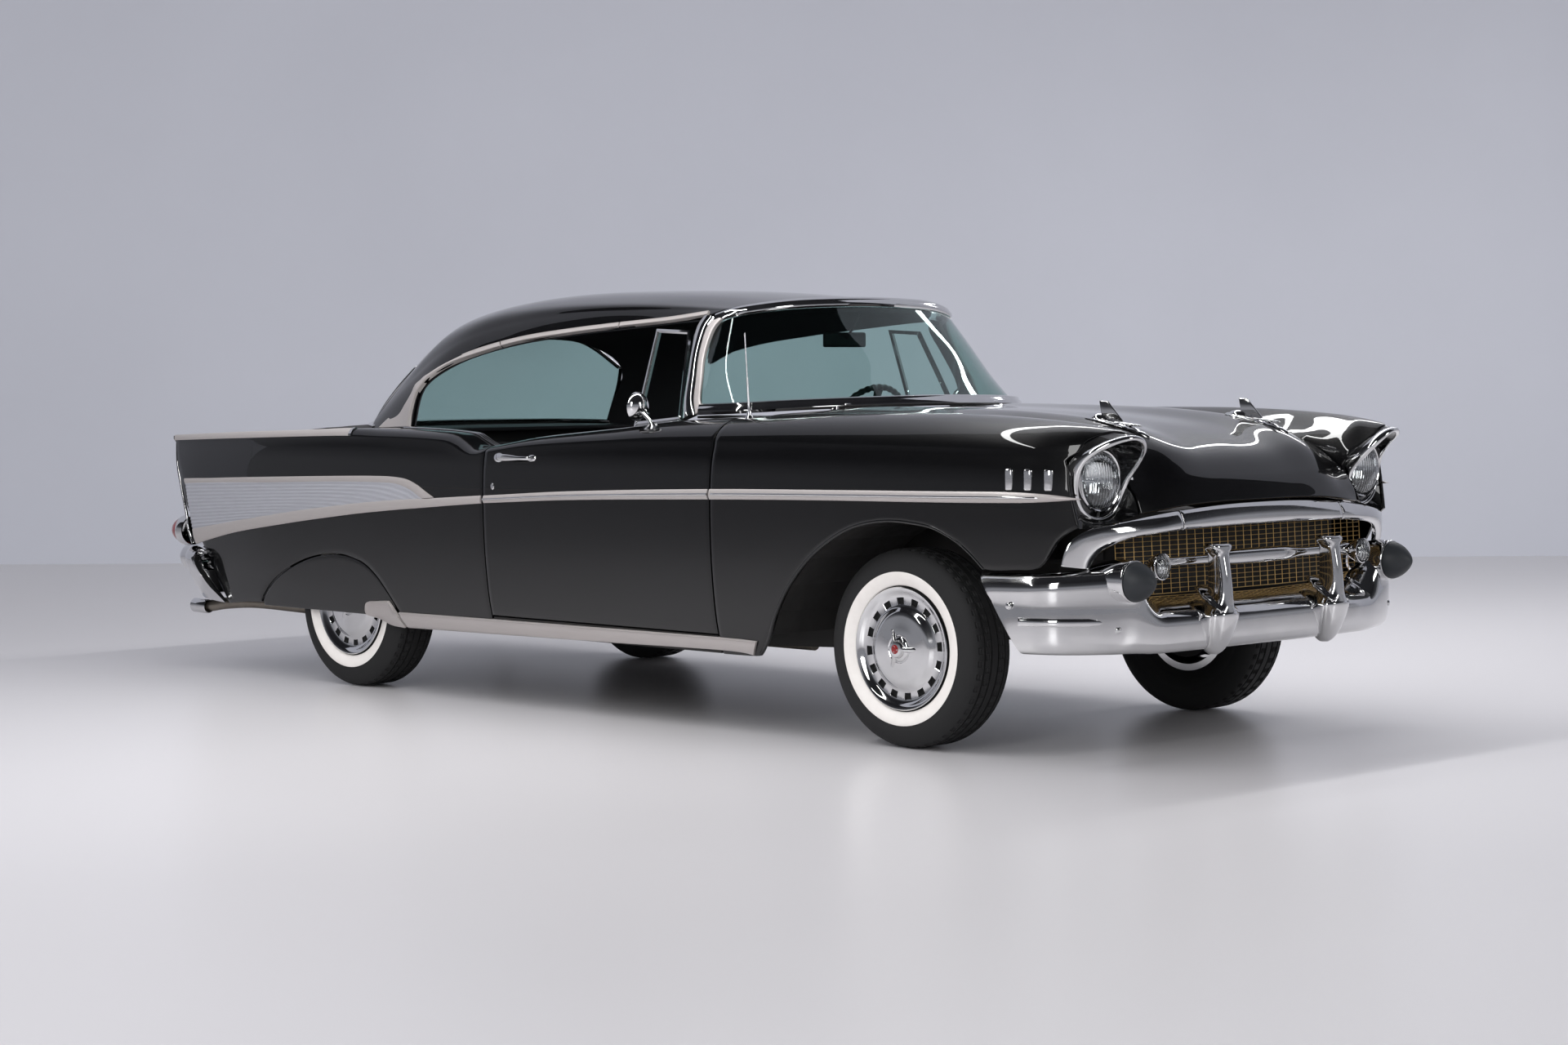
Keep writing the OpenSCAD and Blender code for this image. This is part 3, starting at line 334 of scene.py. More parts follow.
def turned(name, profile, steps=64, axis=(0, 0, 1), place=(0, 0, 0), angle=35):
    # one point drawn out along the profile of [radius, height], then spun round the axis
    bpy.ops.object.select_all(action="DESELECT")
    bpy.ops.mesh.primitive_plane_add(size=0.001)
    piece = active()
    piece.name = piece.data.name = name
    bpy.ops.object.mode_set(mode="EDIT")
    bpy.ops.mesh.select_mode(type="VERT")
    bpy.ops.mesh.select_all(action="SELECT")
    bpy.ops.mesh.merge(type="CENTER")
    bpy.ops.transform.translate(value=(profile[0][0] * mm, 0, profile[0][1] * mm))
    for a, b in zip(profile, profile[1:]):
        bpy.ops.mesh.extrude_region_move(
            TRANSFORM_OT_translate={"value": ((b[0] - a[0]) * mm, 0, (b[1] - a[1]) * mm)})
    bpy.ops.mesh.select_all(action="SELECT")
    bpy.ops.mesh.spin(steps=steps, angle=2 * math.pi, center=(0, 0, 0), axis=(0, 0, 1))
    bpy.ops.mesh.select_all(action="SELECT")
    bpy.ops.mesh.remove_doubles(threshold=0.00001)
    bpy.ops.mesh.normals_make_consistent(inside=False)
    objectMode()
    piece.data.transform(Vector((0, 0, 1)).rotation_difference(Vector(axis)).to_matrix().to_4x4())
    piece.data.transform(Matrix.Translation(Vector(place) * mm))
    shade(piece, angle)
    return piece


def slab(name, low, high, bevel=2, segments=2):  # a block with rounded edges
    low, high = Vector(low) * mm, Vector(high) * mm
    bpy.ops.object.select_all(action="DESELECT")
    bpy.ops.mesh.primitive_cube_add(size=1, location=(low + high) / 2)
    piece = active()
    piece.name = piece.data.name = name
    piece.scale = high - low
    bpy.ops.object.transform_apply(location=True, rotation=True, scale=True)
    if bevel:
        softEdges(piece, bevel, segments)
    shade(piece)
    return piece


def rod(name, points, radius, sides=12, closed=False, taper=None):  # round bar carried along points
    points = [np.array(p, float) for p in points]
    stations, up = [], np.array([0.02, 0.1, 1.0])
    for i, p in enumerate(points):
        before = points[i - 1] if i or closed else points[0]
        after = points[(i + 1) % len(points)] if i < len(points) - 1 or closed else points[-1]
        d = (after - before) / max(np.linalg.norm(after - before), 1e-9)
        a = np.cross(d, up)
        a /= max(np.linalg.norm(a), 1e-9)
        b = np.cross(d, a)
        r = radius * (taper(i / max(len(points) - 1, 1)) if taper else 1)
        stations.append([p + r * (math.cos(2 * math.pi * k / sides) * a + math.sin(2 * math.pi * k / sides) * b)
                         for k in range(sides)])
    if closed:
        stations.append(stations[0])
    return laidTube(name, stations, capped=not closed, angle=50)


def joined(name, pieces):
    only(pieces[0])
    for piece in pieces:
        piece.select_set(True)
    bpy.ops.object.join()
    piece = active()
    piece.name = piece.data.name = name
    return piece


def copied(piece, name, matrix):  # its own mesh, turned or mirrored into place
    other = piece.copy()
    other.data = piece.data.copy()
    other.name = other.data.name = name
    bpy.context.scene.collection.objects.link(other)
    other.data.transform(matrix)
    if matrix.determinant() < 0:
        other.data.flip_normals()
    return other


def dressed(piece, body, material, replaced=()):
    piece.data.materials.clear()
    piece.data.materials.append(material)
    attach(piece, body)
    if replaced:
        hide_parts(*replaced)
    return piece


def plated(piece, body="body", replaced=()):
    return dressed(piece, body, finish["chrome"], replaced)


def brushed(piece, body="body"):
    return dressed(piece, body, finish["satin"])


def painted(piece, body, replaced=()):
    return dressed(piece, body, finish["paint"], replaced)


def trimmed(piece, key, body="body"):  # vinyl and cloth inside the cabin
    return dressed(piece, body, finish[key])


# materials
def toLinear(hexText):
    values = [int(hexText[i:i + 2], 16) / 255 for i in (1, 3, 5)]
    return [v / 12.92 if v <= 0.04045 else ((v + 0.055) / 1.055) ** 2.4 for v in values] + [1]


def addNode(material, kind, sockets=None, **settings):
    node = material.node_tree.nodes.new(kind)
    for key, value in settings.items():
        setattr(node, key, value)
    for key, value in (sockets or {}).items():
        if isinstance(value, bpy.types.NodeSocket):
            material.node_tree.links.new(value, node.inputs[key])
        else:
            node.inputs[key].default_value = value
    return node


def newMaterial(name, colour, roughness, metallic=0, **sockets):
    material = bpy.data.materials.new(name)
    material.use_nodes = True
    shader = material.node_tree.nodes["Principled BSDF"]
    shader.inputs["Base Color"].default_value = toLinear(colour)
    shader.inputs["Roughness"].default_value = roughness
    shader.inputs["Metallic"].default_value = metallic
    for key, value in sockets.items():
        shader.inputs[key.replace("_", " ")].default_value = value
    return material, shader


def between(material, fac, low, high):
    node = addNode(material, "ShaderNodeMapRange", {"Value": fac, "To Min": low, "To Max": high})
    return node.outputs["Result"]


def surfaceDetail(material, shader, size, roughness, bump, detail=3, height=0.001, stretch=(1, 1, 1), colours=None):
    # noise at a real size in metres drives roughness, a slight bump and a slight change of colour
    place = addNode(material, "ShaderNodeTexCoord").outputs["Object"]
    stretched = addNode(material, "ShaderNodeMapping", {"Vector": place, "Scale": stretch}).outputs["Vector"]
    noise = addNode(material, "ShaderNodeTexNoise", {"Vector": stretched, "Scale": 1 / size, "Detail": detail})
    value = noise.outputs["Fac"]
    links = material.node_tree.links
    if roughness:
        links.new(between(material, value, *roughness), shader.inputs["Roughness"])
    if colours:
        mix = addNode(material, "ShaderNodeMix", {"Factor": value}, data_type="RGBA")
        mix.inputs["A"].default_value, mix.inputs["B"].default_value = toLinear(colours[0]), toLinear(colours[1])
        links.new(mix.outputs["Result"], shader.inputs["Base Color"])
    if bump:
        raised = addNode(material, "ShaderNodeBump", {"Height": value, "Strength": bump, "Distance": height})
        links.new(raised.outputs["Normal"], shader.inputs["Normal"])
    return stretched


def makeMaterials():
    made = {}
    # black enamel under clear lacquer: deep, a little soft beneath, with a faint waviness of the sprayed coat
    made["paint"], s = newMaterial("blackEnamel", "#030303", 0.35, 0, Coat_Weight=1.0, Coat_Roughness=0.02,
                                   Specular_IOR_Level=0.08)
    surfaceDetail(made["paint"], s, 0.012, (0.3, 0.42), 0.02, 2, 0.0004, colours=("#020203", "#050506"))
    # nickel and chrome plate on pressed steel: mirror bright, slightly wavy, faint haze
    made["chrome"], s = newMaterial("chromePlate", "#dcdcde", 0.06, 1)
    surfaceDetail(made["chrome"], s, 0.09, (0.03, 0.11), 0.05, 2, 0.002, colours=("#d4d4d6", "#e6e6e6"))
    # anodised aluminium trim, brushed along its length
    made["satin"], s = newMaterial("satinAluminium", "#b4aeac", 0.38, 0.35)
    surfaceDetail(made["satin"], s, 0.002, (0.3, 0.44), 0.05, 2, 0.0002, (0.02, 1, 1), ("#ada7a5", "#bbb5b3"))
    made["ribbed"], s = newMaterial("ribbedAluminium", "#b2b3ba", 0.44, 0.35)
    surfaceDetail(made["ribbed"], s, 0.002, (0.36, 0.48), 0.04, 2, 0.0002, (0.02, 1, 1), ("#abacb3", "#b9bac1"))
    made["gold"], s = newMaterial("goldAnodisedAluminium", "#c9a468", 0.32, 0.6)
    surfaceDetail(made["gold"], s, 0.01, (0.25, 0.42), 0.03, 2, 0.0003, colours=("#bb9454", "#d8b97e"))
    # tyre rubber: dull carbon black with a dusty bloom
    made["rubber"], s = newMaterial("tyreRubber", "#1c1c1d", 0.75)
    surfaceDetail(made["rubber"], s, 0.004, (0.65, 0.85), 0.2, 3, 0.0004, colours=("#171718", "#222223"))
    made["whitewall"], s = newMaterial("whiteRubber", "#ece8e3", 0.55)
    surfaceDetail(made["whitewall"], s, 0.03, (0.45, 0.65), 0.06, 3, 0.0004, colours=("#e6e1dc", "#f2eeea"))
    made["bullet"], s = newMaterial("mouldedBlackRubber", "#24272b", 0.5)
    surfaceDetail(made["bullet"], s, 0.003, (0.42, 0.6), 0.12, 3, 0.0003, colours=("#1f2226", "#2b2f33"))
    # laminated glass with the green tint of its iron content
    made["glass"], s = newMaterial("tintedGlass", "#a9c9c4", 0.0, 0, Transmission_Weight=1.0, IOR=1.5)
    surfaceDetail(made["glass"], s, 0.4, (0.0, 0.02), 0, 2, colours=("#a6c8c3", "#adccc7"))
    # pressed glass with upright flutes about 6 mm apart
    made["fluted"], s = newMaterial("flutedLampGlass", "#f2f4f4", 0.02, 0, Transmission_Weight=1.0, IOR=1.48)
    place = addNode(made["fluted"], "ShaderNodeTexCoord").outputs["Object"]
    flutes = addNode(made["fluted"], "ShaderNodeTexWave", {"Vector": place, "Scale": 26, "Distortion": 0.6},
                     bands_direction="Y").outputs["Fac"]
    raised = addNode(made["fluted"], "ShaderNodeBump", {"Height": flutes, "Strength": 0.5, "Distance": 0.0015})
    made["fluted"].node_tree.links.new(raised.outputs["Normal"], s.inputs["Normal"])
    made["red"], s = newMaterial("redAcrylicLens", "#7d0a0c", 0.08, 0, Coat_Weight=0.6)
    surfaceDetail(made["red"], s, 0.004, (0.05, 0.16), 0.1, 1, 0.0004, colours=("#6f080a", "#8f1012"))
    made["mirrorGlass"], s = newMaterial("silveredReflector", "#e9eaec", 0.08, 1)
    surfaceDetail(made["mirrorGlass"], s, 0.02, (0.05, 0.14), 0.1, 1, 0.001)
    # painted steel under the car, a light film of dust
    made["chassis"], s = newMaterial("chassisPaint", "#1b1b1c", 0.6)
    surfaceDetail(made["chassis"], s, 0.05, (0.45, 0.8), 0.15, 4, 0.0006, colours=("#141415", "#262422"))
    made["casting"], s = newMaterial("paintedCastIron", "#2b2a29", 0.65)
    surfaceDetail(made["casting"], s, 0.006, (0.5, 0.8), 0.35, 4, 0.0008, colours=("#242322", "#33312f"))
    made["exhaust"], s = newMaterial("heatedSteelTube", "#8c857b", 0.38, 1)
    surfaceDetail(made["exhaust"], s, 0.03, (0.28, 0.5), 0.1, 3, 0.0004, colours=("#7a7268", "#9a948b"))
    made["zinc"], s = newMaterial("zincPlatedSteel", "#a4a6a8", 0.4, 1)
    surfaceDetail(made["zinc"], s, 0.01, (0.3, 0.5), 0.08, 3, 0.0003)
    # interior: grained vinyl, woven cloth, looped carpet and moulded plastic
    made["vinyl"], s = newMaterial("grainedVinyl", "#141416", 0.5)
    surfaceDetail(made["vinyl"], s, 0.0022, (0.42, 0.6), 0.25, 3, 0.0003, colours=("#101012", "#1a1a1d"))
    made["cloth"], s = newMaterial("blackSeatCloth", "#161719", 0.85, 0, Sheen_Weight=0.2)
    surfaceDetail(made["cloth"], s, 0.0016, (0.75, 0.95), 0.4, 2, 0.0006, colours=("#101113", "#1f2023"))
    made["silverVinyl"], s = newMaterial("silverGreyVinyl", "#9b9ea6", 0.42, 0.1)
    surfaceDetail(made["silverVinyl"], s, 0.0022, (0.36, 0.52), 0.2, 3, 0.0003, colours=("#8f929a", "#a8abb2"))
    made["carpet"], s = newMaterial("loopCarpet", "#17171a", 0.95, 0, Sheen_Weight=0.2)
    surfaceDetail(made["carpet"], s, 0.003, (0.85, 1.0), 0.6, 3, 0.002, colours=("#101013", "#222226"))
    made["headliner"], s = newMaterial("perforatedHeadliner", "#2a2b2e", 0.8)
    surfaceDetail(made["headliner"], s, 0.003, (0.7, 0.9), 0.2, 2, 0.0004, colours=("#242528", "#313236"))
    made["rim"], s = newMaterial("greenGreyPlastic", "#26332f", 0.3, 0, Coat_Weight=0.4)
    surfaceDetail(made["rim"], s, 0.01, (0.22, 0.4), 0.05, 2, 0.0003, colours=("#212d2a", "#2d3b37"))
    # near-black colour for the sunk slots of the wheel covers: painted shade, standing for the dark seen through the
    # slots
    made["dark"], s = newMaterial("slotPaintedShade", "#050505", 0.7)
    surfaceDetail(made["dark"], s, 0.01, (0.6, 0.8), 0.1, 2, 0.0004, colours=("#040404", "#090909"))
    return made


finish = makeMaterials()
print("materials done")

# body panels
panelGrid = {"columns": 110, "side": 20, "shoulder": 14, "top": 8, "across": 56, "along": 72}


def panelRows(point, outline, side, top=True):
    vs = list(np.linspace(0, 1, panelGrid["side"] + 1)) + list(np.linspace(1, 2, panelGrid["shoulder"] + 1))[1:]
    if top:
        vs += list(np.linspace(2, 3, panelGrid["top"] + 1))[1:]
    columns = [onPath(outline, i / panelGrid["columns"]) for i in range(panelGrid["columns"] + 1)]
    outer = [[point(p, v) for p in columns] for v in vs]
    inner = [[np.array(q) - bodyLines["skin"] * inward(v) for q in row] for v, row in zip(vs, outer)]
    return [[[[q[0], q[1] * side, q[2]] for q in row] for row in part] for part in (outer, inner)]


def makeFender(name, side):
    outer, inner = panelRows(fenderPoint, bodyLines["frontArch"], side)
    return laidShell("fenderPanel_" + name, outer, inner, 2)


def makeQuarter(name, side):
    outer, inner = panelRows(quarterPoint, bodyLines["rearArch"], side)
    return laidShell("quarterPanel_" + name, outer, inner, 2)


def makeDoor(name, side):
    vs = list(np.linspace(0, 1, 22)) + list(np.linspace(1, 2, 15))[1:]
    xs = np.linspace(bodyLines["doorRear"], bodyLines["doorFront"], 70)
    outer = [[sidePoint(x, bodyLines["doorBottom"], v) for x in xs] for v in vs]
    inner = [[[x + (14 if i == 0 else 0), q[1] - bodyLines["doorThick"] + (70 * (v - 1) if v > 1 else 0), q[2]]
              for i, (x, q) in enumerate(zip(xs, row))] for v, row in zip(vs, outer)]
    flip = [[[[q[0], q[1] * side, q[2]] for q in row] for row in part] for part in (outer, inner)]
    return laidShell("doorPanel_" + name, flip[0], flip[1], 2.5)


def netShell(name, net, across, along, thickness, bevel=2):
    rows = netRows(bothHalves(net), across, along)
    return laidShell(name, rows, facing(rows, thickness), bevel)


skirtArch = [p for p in bodyLines["rearArch"] if -1870 < p[0] < -950]


def makeSkirt(name, side):
    rows = []
    for v in np.linspace(0, 1, 12):
        row = []
        for i in range(61):
            p = onPath(skirtArch, i / 60)
            x, z = -1311 + (p[0] + 1311) * 0.985, 290 + (p[1] - 6 - 290) * v
            row.append([x, (bodyY(x, z) - 2) * side, z])
        rows.append(row)
    inner = [[[q[0], q[1] - 10 * side, q[2]] for q in row] for row in rows]
    return laidShell("skirtPanel_" + name, rows, inner, 3)


for name, side in sides.items():
    painted(makeFender(name, side), "body", ["fender_" + name])
    painted(makeQuarter(name, side), "body", ["quarter_" + name])
    painted(makeDoor(name, side), "door_" + name[0], ["door_" + name])
    painted(makeSkirt(name, side), "body", ["skirt_" + name])
painted(netShell("hoodPanel", netLines["hood"], 72, 80, 14), "hood_panel", ["hood"])
painted(netShell("trunkPanel", netLines["trunk"], 40, 60, 14), "trunk_panel", ["trunk_lid"])
painted(netShell("roofPanel", netLines["roof"], 72, 64, 14), "body", ["roof"])
dressed(netShell("windshieldGlass", netLines["windshield"], 64, 20, 6, 1), "body", finish["glass"],
        ["windshield"])
dressed(netShell("rearWindowGlass", netLines["rearGlass"], 40, 24, 6, 1), "body", finish["glass"],
        ["rear_glass"])
print("panels done")

# bumpers: one pressed sheet carried round the nose, its top a shelf in the middle and a rolled wing at the sides
frontBar = {
    "line": [[2440, 0], [2440, 200], [2434, 400], [2420, 560], [2385, 700], [2300, 806], [2235, 848], [2168, 868]],
    "middle": [[-6, 344], [10, 340], [26, 343], [39, 356], [45, 376], [47, 400], [48, 424], [47, 441], [40, 455],
               [22, 471], [-6, 489], [-36, 505], [-64, 521], [-64, 515], [-34, 499], [-4, 482], [22, 463], [34, 444],
               [36, 420], [34, 390], [26, 362], [8, 350]],
    "wing": [[-6, 350], [10, 346], [26, 350], [38, 364], [44, 386], [47, 412], [48, 440], [48, 484], [44, 516],
             [50, 536], [49, 564], [35, 588], [6, 598], [4, 591], [30, 581], [40, 562], [41, 540], [35, 514],
             [38, 480], [38, 440], [32, 388], [8, 356]],
    "blendFrom": 540, "blendTo": 668, "stations": 160, "endCut": 0.63, "rise": 0.09}
rearBar = {
    "line": [[2486, 0, 420], [2484, 200, 420], [2479, 400, 420], [2466, 600, 420], [2426, 740, 420],
             [2346, 836, 420], [2230, 872, 414], [2120, 884, 408]],
    "section": [[-30, -116], [-18, -122], [0, -92], [20, -60], [30, -38], [38, -16], [47, 8], [53, 34], [51, 58],
                [40, 78], [20, 88], [0, 90], [-20, 84], [-14, 72], [10, 66], [22, 46], [16, 20], [6, -20], [-12, -70]],
    "stations": 128, "lean": 0.73}


def outwards(points, i):
    d = points[min(i + 1, len(points) - 1)] - points[max(i - 1, 0)]
    return np.array([d[1], -d[0], 0]) / max(np.hypot(d[0], d[1]), 1e-9)


def ramp(x):
    x = min(max(x, 0), 1)
    return x * x * (3 - 2 * x)


def frontSection(y):
    w = ramp((abs(y) - frontBar["blendFrom"]) / (frontBar["blendTo"] - frontBar["blendFrom"]))
    return np.array(frontBar["middle"]) * (1 - w) + np.array(frontBar["wing"]) * w


def makeFrontBar():
    v = frontBar
    line = [[x, -y, 0] for x, y in v["line"][:0:-1]] + [[x, y, 0] for x, y in v["line"]]
    n = v["stations"]
    points = [onPath(line, i / n) for i in range(n + 1)]
    stations = []
    for i, p in enumerate(points):
        o, u = outwards(points, i), 2 * i / n - 1
        e = ramp((abs(u) - 0.9) / 0.1)
        station = []
        for k, (out, z) in enumerate(frontSection(p[1])):
            z += v["rise"] * (p[0] - 2235) * ramp((z - 470) / 60) * ramp((abs(p[1]) - 600) / 100)
            back = v["endCut"] * (z - 348) * e
            station.append([p[0] + out * o[0] - back, p[1] + out * o[1] + 0.1 * back * np.sign(u), z])
        stations.append(station)
    return laidTube("frontBumperBar", stations, angle=45)


def makeRearBar():
    v = rearBar
    line = wholeLine(v["line"])
    n = v["stations"]
    points = [onPath(line, i / n) for i in range(n + 1)]
    base, stations = v["section"][0][1], []
    for i, p in enumerate(points):
        o, e = outwards(points, i), max(0, abs(2 * i / n - 1) - 0.75) * 4
        stations.append([p + s[0] * o + np.array([v["lean"] * (s[1] - base) * e * e, 0, s[1]]) for s in v["section"]])
    bar = laidTube("rearBumperBar", stations, angle=45)
    bar.data.transform(Matrix.Diagonal((-1, 1, 1, 1)))
    tidyNormals(bar)
    return bar


podRings = [[2286, 716, 566, 40], [2320, 704, 567, 54], [2356, 697, 569, 63], [2400, 693, 572, 67.5],
            [2440, 692, 572, 68], [2456, 692, 572, 67.6], [2462, 692, 572, 66]]


def makePod(name, side):  # the long round nose that grows out of the wing
    stations = []
    for i in range(49):
        x, y, z, r = onPath(podRings, i / 48)
        stations.append([[x, (y + r * math.cos(t)) * side, z + r * math.sin(t)]
                         for t in circle(48)])
    return laidTube("bumperPod_" + name, stations, bevel=1.5)


def makeTip(name, side):  # pointed rubber tip on the pod
    profile = [[0, 0], [60, 0], [62.5, 2], [62, 8], [58, 20], [51, 34], [41, 48], [28, 62], [14, 73], [5, 77.2],
               [0, 78]]
    return turned("rubberTip_" + name, profile, 56, (1, 0, 0), (2462, 692 * side, 572))


# sections of the guard from the keel up: height, back, front, half width, roundness
guard = {"y": 300, "steps": 36, "sections": [
    [324, 2446, 2478, 14, 2.2], [338, 2436, 2494, 32, 2.4], [368, 2430, 2513, 47, 2.6], [404, 2428, 2526, 57, 2.8],
    [438, 2426, 2535, 63, 3], [453, 2426, 2537, 63, 3], [460, 2430, 2535, 56, 2.8], [480, 2438, 2533, 38, 2.6],
    [510, 2446, 2532, 28, 2.8], [560, 2450, 2527, 24, 3.2], [620, 2450, 2517, 24, 3.4], [644, 2449, 2513, 28, 3.4],
    [656, 2447, 2512, 42, 4], [668, 2448, 2510, 45, 4], [673, 2453, 2504, 38, 4]]}


def makeGuard(name, side):
    stations = []
    for i in range(85):
        z, back, front, half, n = onPath(guard["sections"], i / 84)
        row = []
        for t in circle(guard["steps"]):
            c, s = math.cos(t), math.sin(t)
            r = (abs(c) ** n + abs(s) ** n) ** (-1 / n)
            row.append([(back + front) / 2 + (front - back) / 2 * c * r, (guard["y"] + half * s * r) * side, z])
        stations.append(row)
    return laidTube("bumperGuard_" + name, stations, bevel=2)


def makeGuardFoot(name, side):  # the foot spreads over the shelf behind the guard
    stations = []
    for i in range(25):
        x, z, half, high = onPath([[2528, 462, 44, 8], [2490, 486, 50, 12], [2448, 512, 48, 12], [2412, 534, 34, 8]],
                                  i / 24)
        stations.append([[x + high * 0.5 * math.sin(t), (guard["y"] + half * math.cos(t)) * side,
                          z + high * math.sin(t)] for t in circle(32)])
    return laidTube("guardFoot_" + name, stations, bevel=2)


def facePoint(x, z):  # on the wing's outer face
    line = [[a, b, 0] for a, b in frontBar["line"]]
    best = None
    for i in range(401):
        u = i / 400
        p = onPath(line, u)
        d = onPath(line, min(u + 0.01, 1)) - onPath(line, max(u - 0.01, 0))
        o = np.array([d[1], -d[0], 0]) / np.hypot(d[0], d[1])
        q = p - o * 48 if o[1] < 0 else p + o * 48
        if best is None or abs(q[0] - x) < abs(best[0] - x):
            best = q
    return [best[0], best[1], z]


def makeRib(name, side):  # long half-round rib pressed into each wing
    stations = []
    xs = np.linspace(2120, 2398, 40)
    for i, x in enumerate(xs):
        t = i / 39
        k = min(1, 8 * t + 0.15) * min(1, (1 - t) * 9 + 0.05)
        p = facePoint(x, 448)
        stations.append([[p[0] + 7 * k * math.cos(a) * 0.5, (p[1] - 1 + 6 * k * math.cos(a)) * side,
                          448 + 13 * k ** 0.5 * math.sin(a)] for a in circle(24)])
    return laidTube("bumperRib_" + name, stations)


def makeBolt(name, place, axis, radius=11):
    profile = [[0, -3], [radius, -3], [radius, 1.5], [radius * 0.86, 3.6], [radius * 0.5, 5.6], [0, 6.4]]
    return turned(name, profile, 24, axis, place)


frontChrome = [makeFrontBar()]
for name, side in sides.items():
    frontChrome += [makePod(name, side), makeGuard(name, side), makeGuardFoot(name, side), makeRib(name, side),
                    makeBolt("bolt", (2423, 727 * side, 424), (0.75, 0.66 * side, 0)),
                    makeBolt("bolt", (2146, 919 * side, 496), (0.1, side, 0))]
    dressed(makeTip(name, side), "body", finish["bullet"])
plated(joined("frontBumper", frontChrome), "body", ["front_bumper"])


def makeOuterPod(name, side):  # round pod with a dark bore at each end of the rear bumper
    profile = [[0, 112], [26, 112], [29, 116], [30, 150], [38, 155], [48, 152], [55, 138], [58, 110], [60, 60], [54, 0]]
    return turned("rearPod_" + name, profile, 56, (-1, 0, 0), (-2380, 752 * side, 455))


rearChrome = [makeRearBar()] + [makeOuterPod(name, side) for name, side in sides.items()]
plated(joined("rearBumper", rearChrome), "body", ["rear_bumper"])
print("bumpers done")

# wheels, made once about their own axle and copied
wheelPlaces = {"front": (1610, 736.5), "rear": (-1311, 747)}
tyreShape = {
    "radius": 324, "steps": 96, "whiteFrom": 205, "whiteTo": 250,
    "outside": [[182, 0], [182, 71], [190, 78], [203, 83], [205, 84], [207, 87], [214, 90], [230, 95.5], [246, 99],
                [250, 98.4], [252, 97.2], [262, 98.6], [274, 98.2], [286, 95.6], [300, 90.5], [311, 83], [318, 75.5],
                [322, 67], [323.4, 58], [323.6, 51.5], [316.8, 51], [316.8, 45.4], [323.8, 45], [324, 32], [324, 20],
                [317, 19.4], [317, 12.8], [324, 12.2], [324, 0]]}
coverShape = {
    "steps": 96, "slots": 16, "slotFrom": 143, "slotTo": 167,
    "profile": [[181, -69], [182, 68], [189, 79], [198, 88], [200.5, 92], [198, 94.5], [192, 93.5], [184, 88],
                [176, 80.5], [170, 78.5], [167, 78], [143, 77], [140, 77.5], [132, 81], [122, 88.5], [114, 92],
                [104, 93.5], [88, 95.5], [70, 98.5], [56, 101], [47, 102], [45, 100.5], [42, 100.5], [40, 103],
                [36, 106], [30, 108]],
    "back": [[60, 22], [140, 20], [150, -40], [158, -69], [181, -69]]}


def placeTurned(name, profile, steps, angle=35):
    return turned(name, profile, steps, (0, 1, 0), (0, 0, 0), angle)


def pickFaces(piece, test):
    only(piece)
    bpy.ops.object.mode_set(mode="EDIT")
    bpy.ops.mesh.select_mode(type="FACE")
    bpy.ops.mesh.select_all(action="DESELECT")
    objectMode()
    for face in piece.data.polygons:
        face.select = bool(test(face.center / mm, face.normal))
    bpy.ops.object.mode_set(mode="EDIT")


def makeTyre():
    half = tyreShape["outside"]
    profile = half + [[r, -y] for r, y in half[-2::-1]]
    tyre = placeTurned("tyre", profile, tyreShape["steps"], 30)
    step = 2 * math.pi / tyreShape["steps"]

    def cut(c, n):  # short cuts across the tread ribs and shoulders
        r, a = math.hypot(c.x, c.z), math.atan2(c.z, c.x) % (2 * math.pi)
        shoulder, rib = 58 < abs(c.y) < 76 and r > 316, 22 < abs(c.y) < 44 and r > 323
        k = int(a / step)
        return (shoulder and k % 2 == 0) or (rib and k % 2 == 1)

    pickFaces(tyre, cut)
    bpy.ops.mesh.inset(thickness=0.0035, depth=-0.004, use_individual=True)
    objectMode()
    tyre.data.materials.append(finish["rubber"])
    tyre.data.materials.append(finish["whitewall"])
    for face in tyre.data.polygons:
        r = math.hypot(face.center.x, face.center.z) / mm
        face.material_index = 1 if tyreShape["whiteFrom"] < r < tyreShape["whiteTo"] and face.center.y > 0.08 else 0
    return tyre


def makeBlade(long):  # one bar of the centre's three
    stations = []
    for i in range(17):
        t = i / 16
        r = 8 + 62 * t
        wide = 11 * (1 - t) ** 0.5 + 5.5 * t if t < 0.96 else 3
        high = (9 + long) * (1 - t) + 3.5
        base = 100.5 - 4 * t
        stations.append([[r, base + high * max(0, math.sin(a)) - 2 * (math.sin(a) < 0), wide * math.cos(a)]
                         for a in circle(20)])
    return laidTube("blade", stations, angle=40)


def makeCover(reach):
    profile = coverShape["profile"] + [[28, reach - 8], [24, reach - 3], [15, reach - 0.6], [0, reach]]
    cover = placeTurned("cover", coverShape["back"][:-1] + profile, coverShape["steps"], 32)
    step = 2 * math.pi / coverShape["steps"]

    def slot(c, n):
        r, a = math.hypot(c.x, c.z), math.atan2(c.z, c.x) % (2 * math.pi)
        return c.y > 70 and coverShape["slotFrom"] < r < coverShape["slotTo"] and int(a / step) % 6 in (0, 1, 2)

    pickFaces(cover, slot)
    bpy.ops.mesh.inset(thickness=0.0012, depth=-0.001)
    bpy.ops.mesh.inset(thickness=0.001, depth=-0.012)
    objectMode()
    cover.data.materials.append(finish["chrome"])
    cover.data.materials.append(finish["dark"])
    cover.data.materials.append(finish["red"])
    for face in cover.data.polygons:
        # the sunk slot faces take the near-black painted shade
        if face.select:
            face.material_index = 1
        if math.hypot(face.center.x, face.center.z) < 0.0155 and face.center.y > 0.1:
            face.material_index = 2
    blades = [makeBlade(reach - 112)]
    blades += [copied(blades[0], "blade", Matrix.Rotation(2 * math.pi / 3 * k, 4, "Y")) for k in (1, 2)]
    for blade in blades:
        blade.data.materials.clear()
        blade.data.materials.append(finish["chrome"])
    return joined("cover", [cover] + blades)


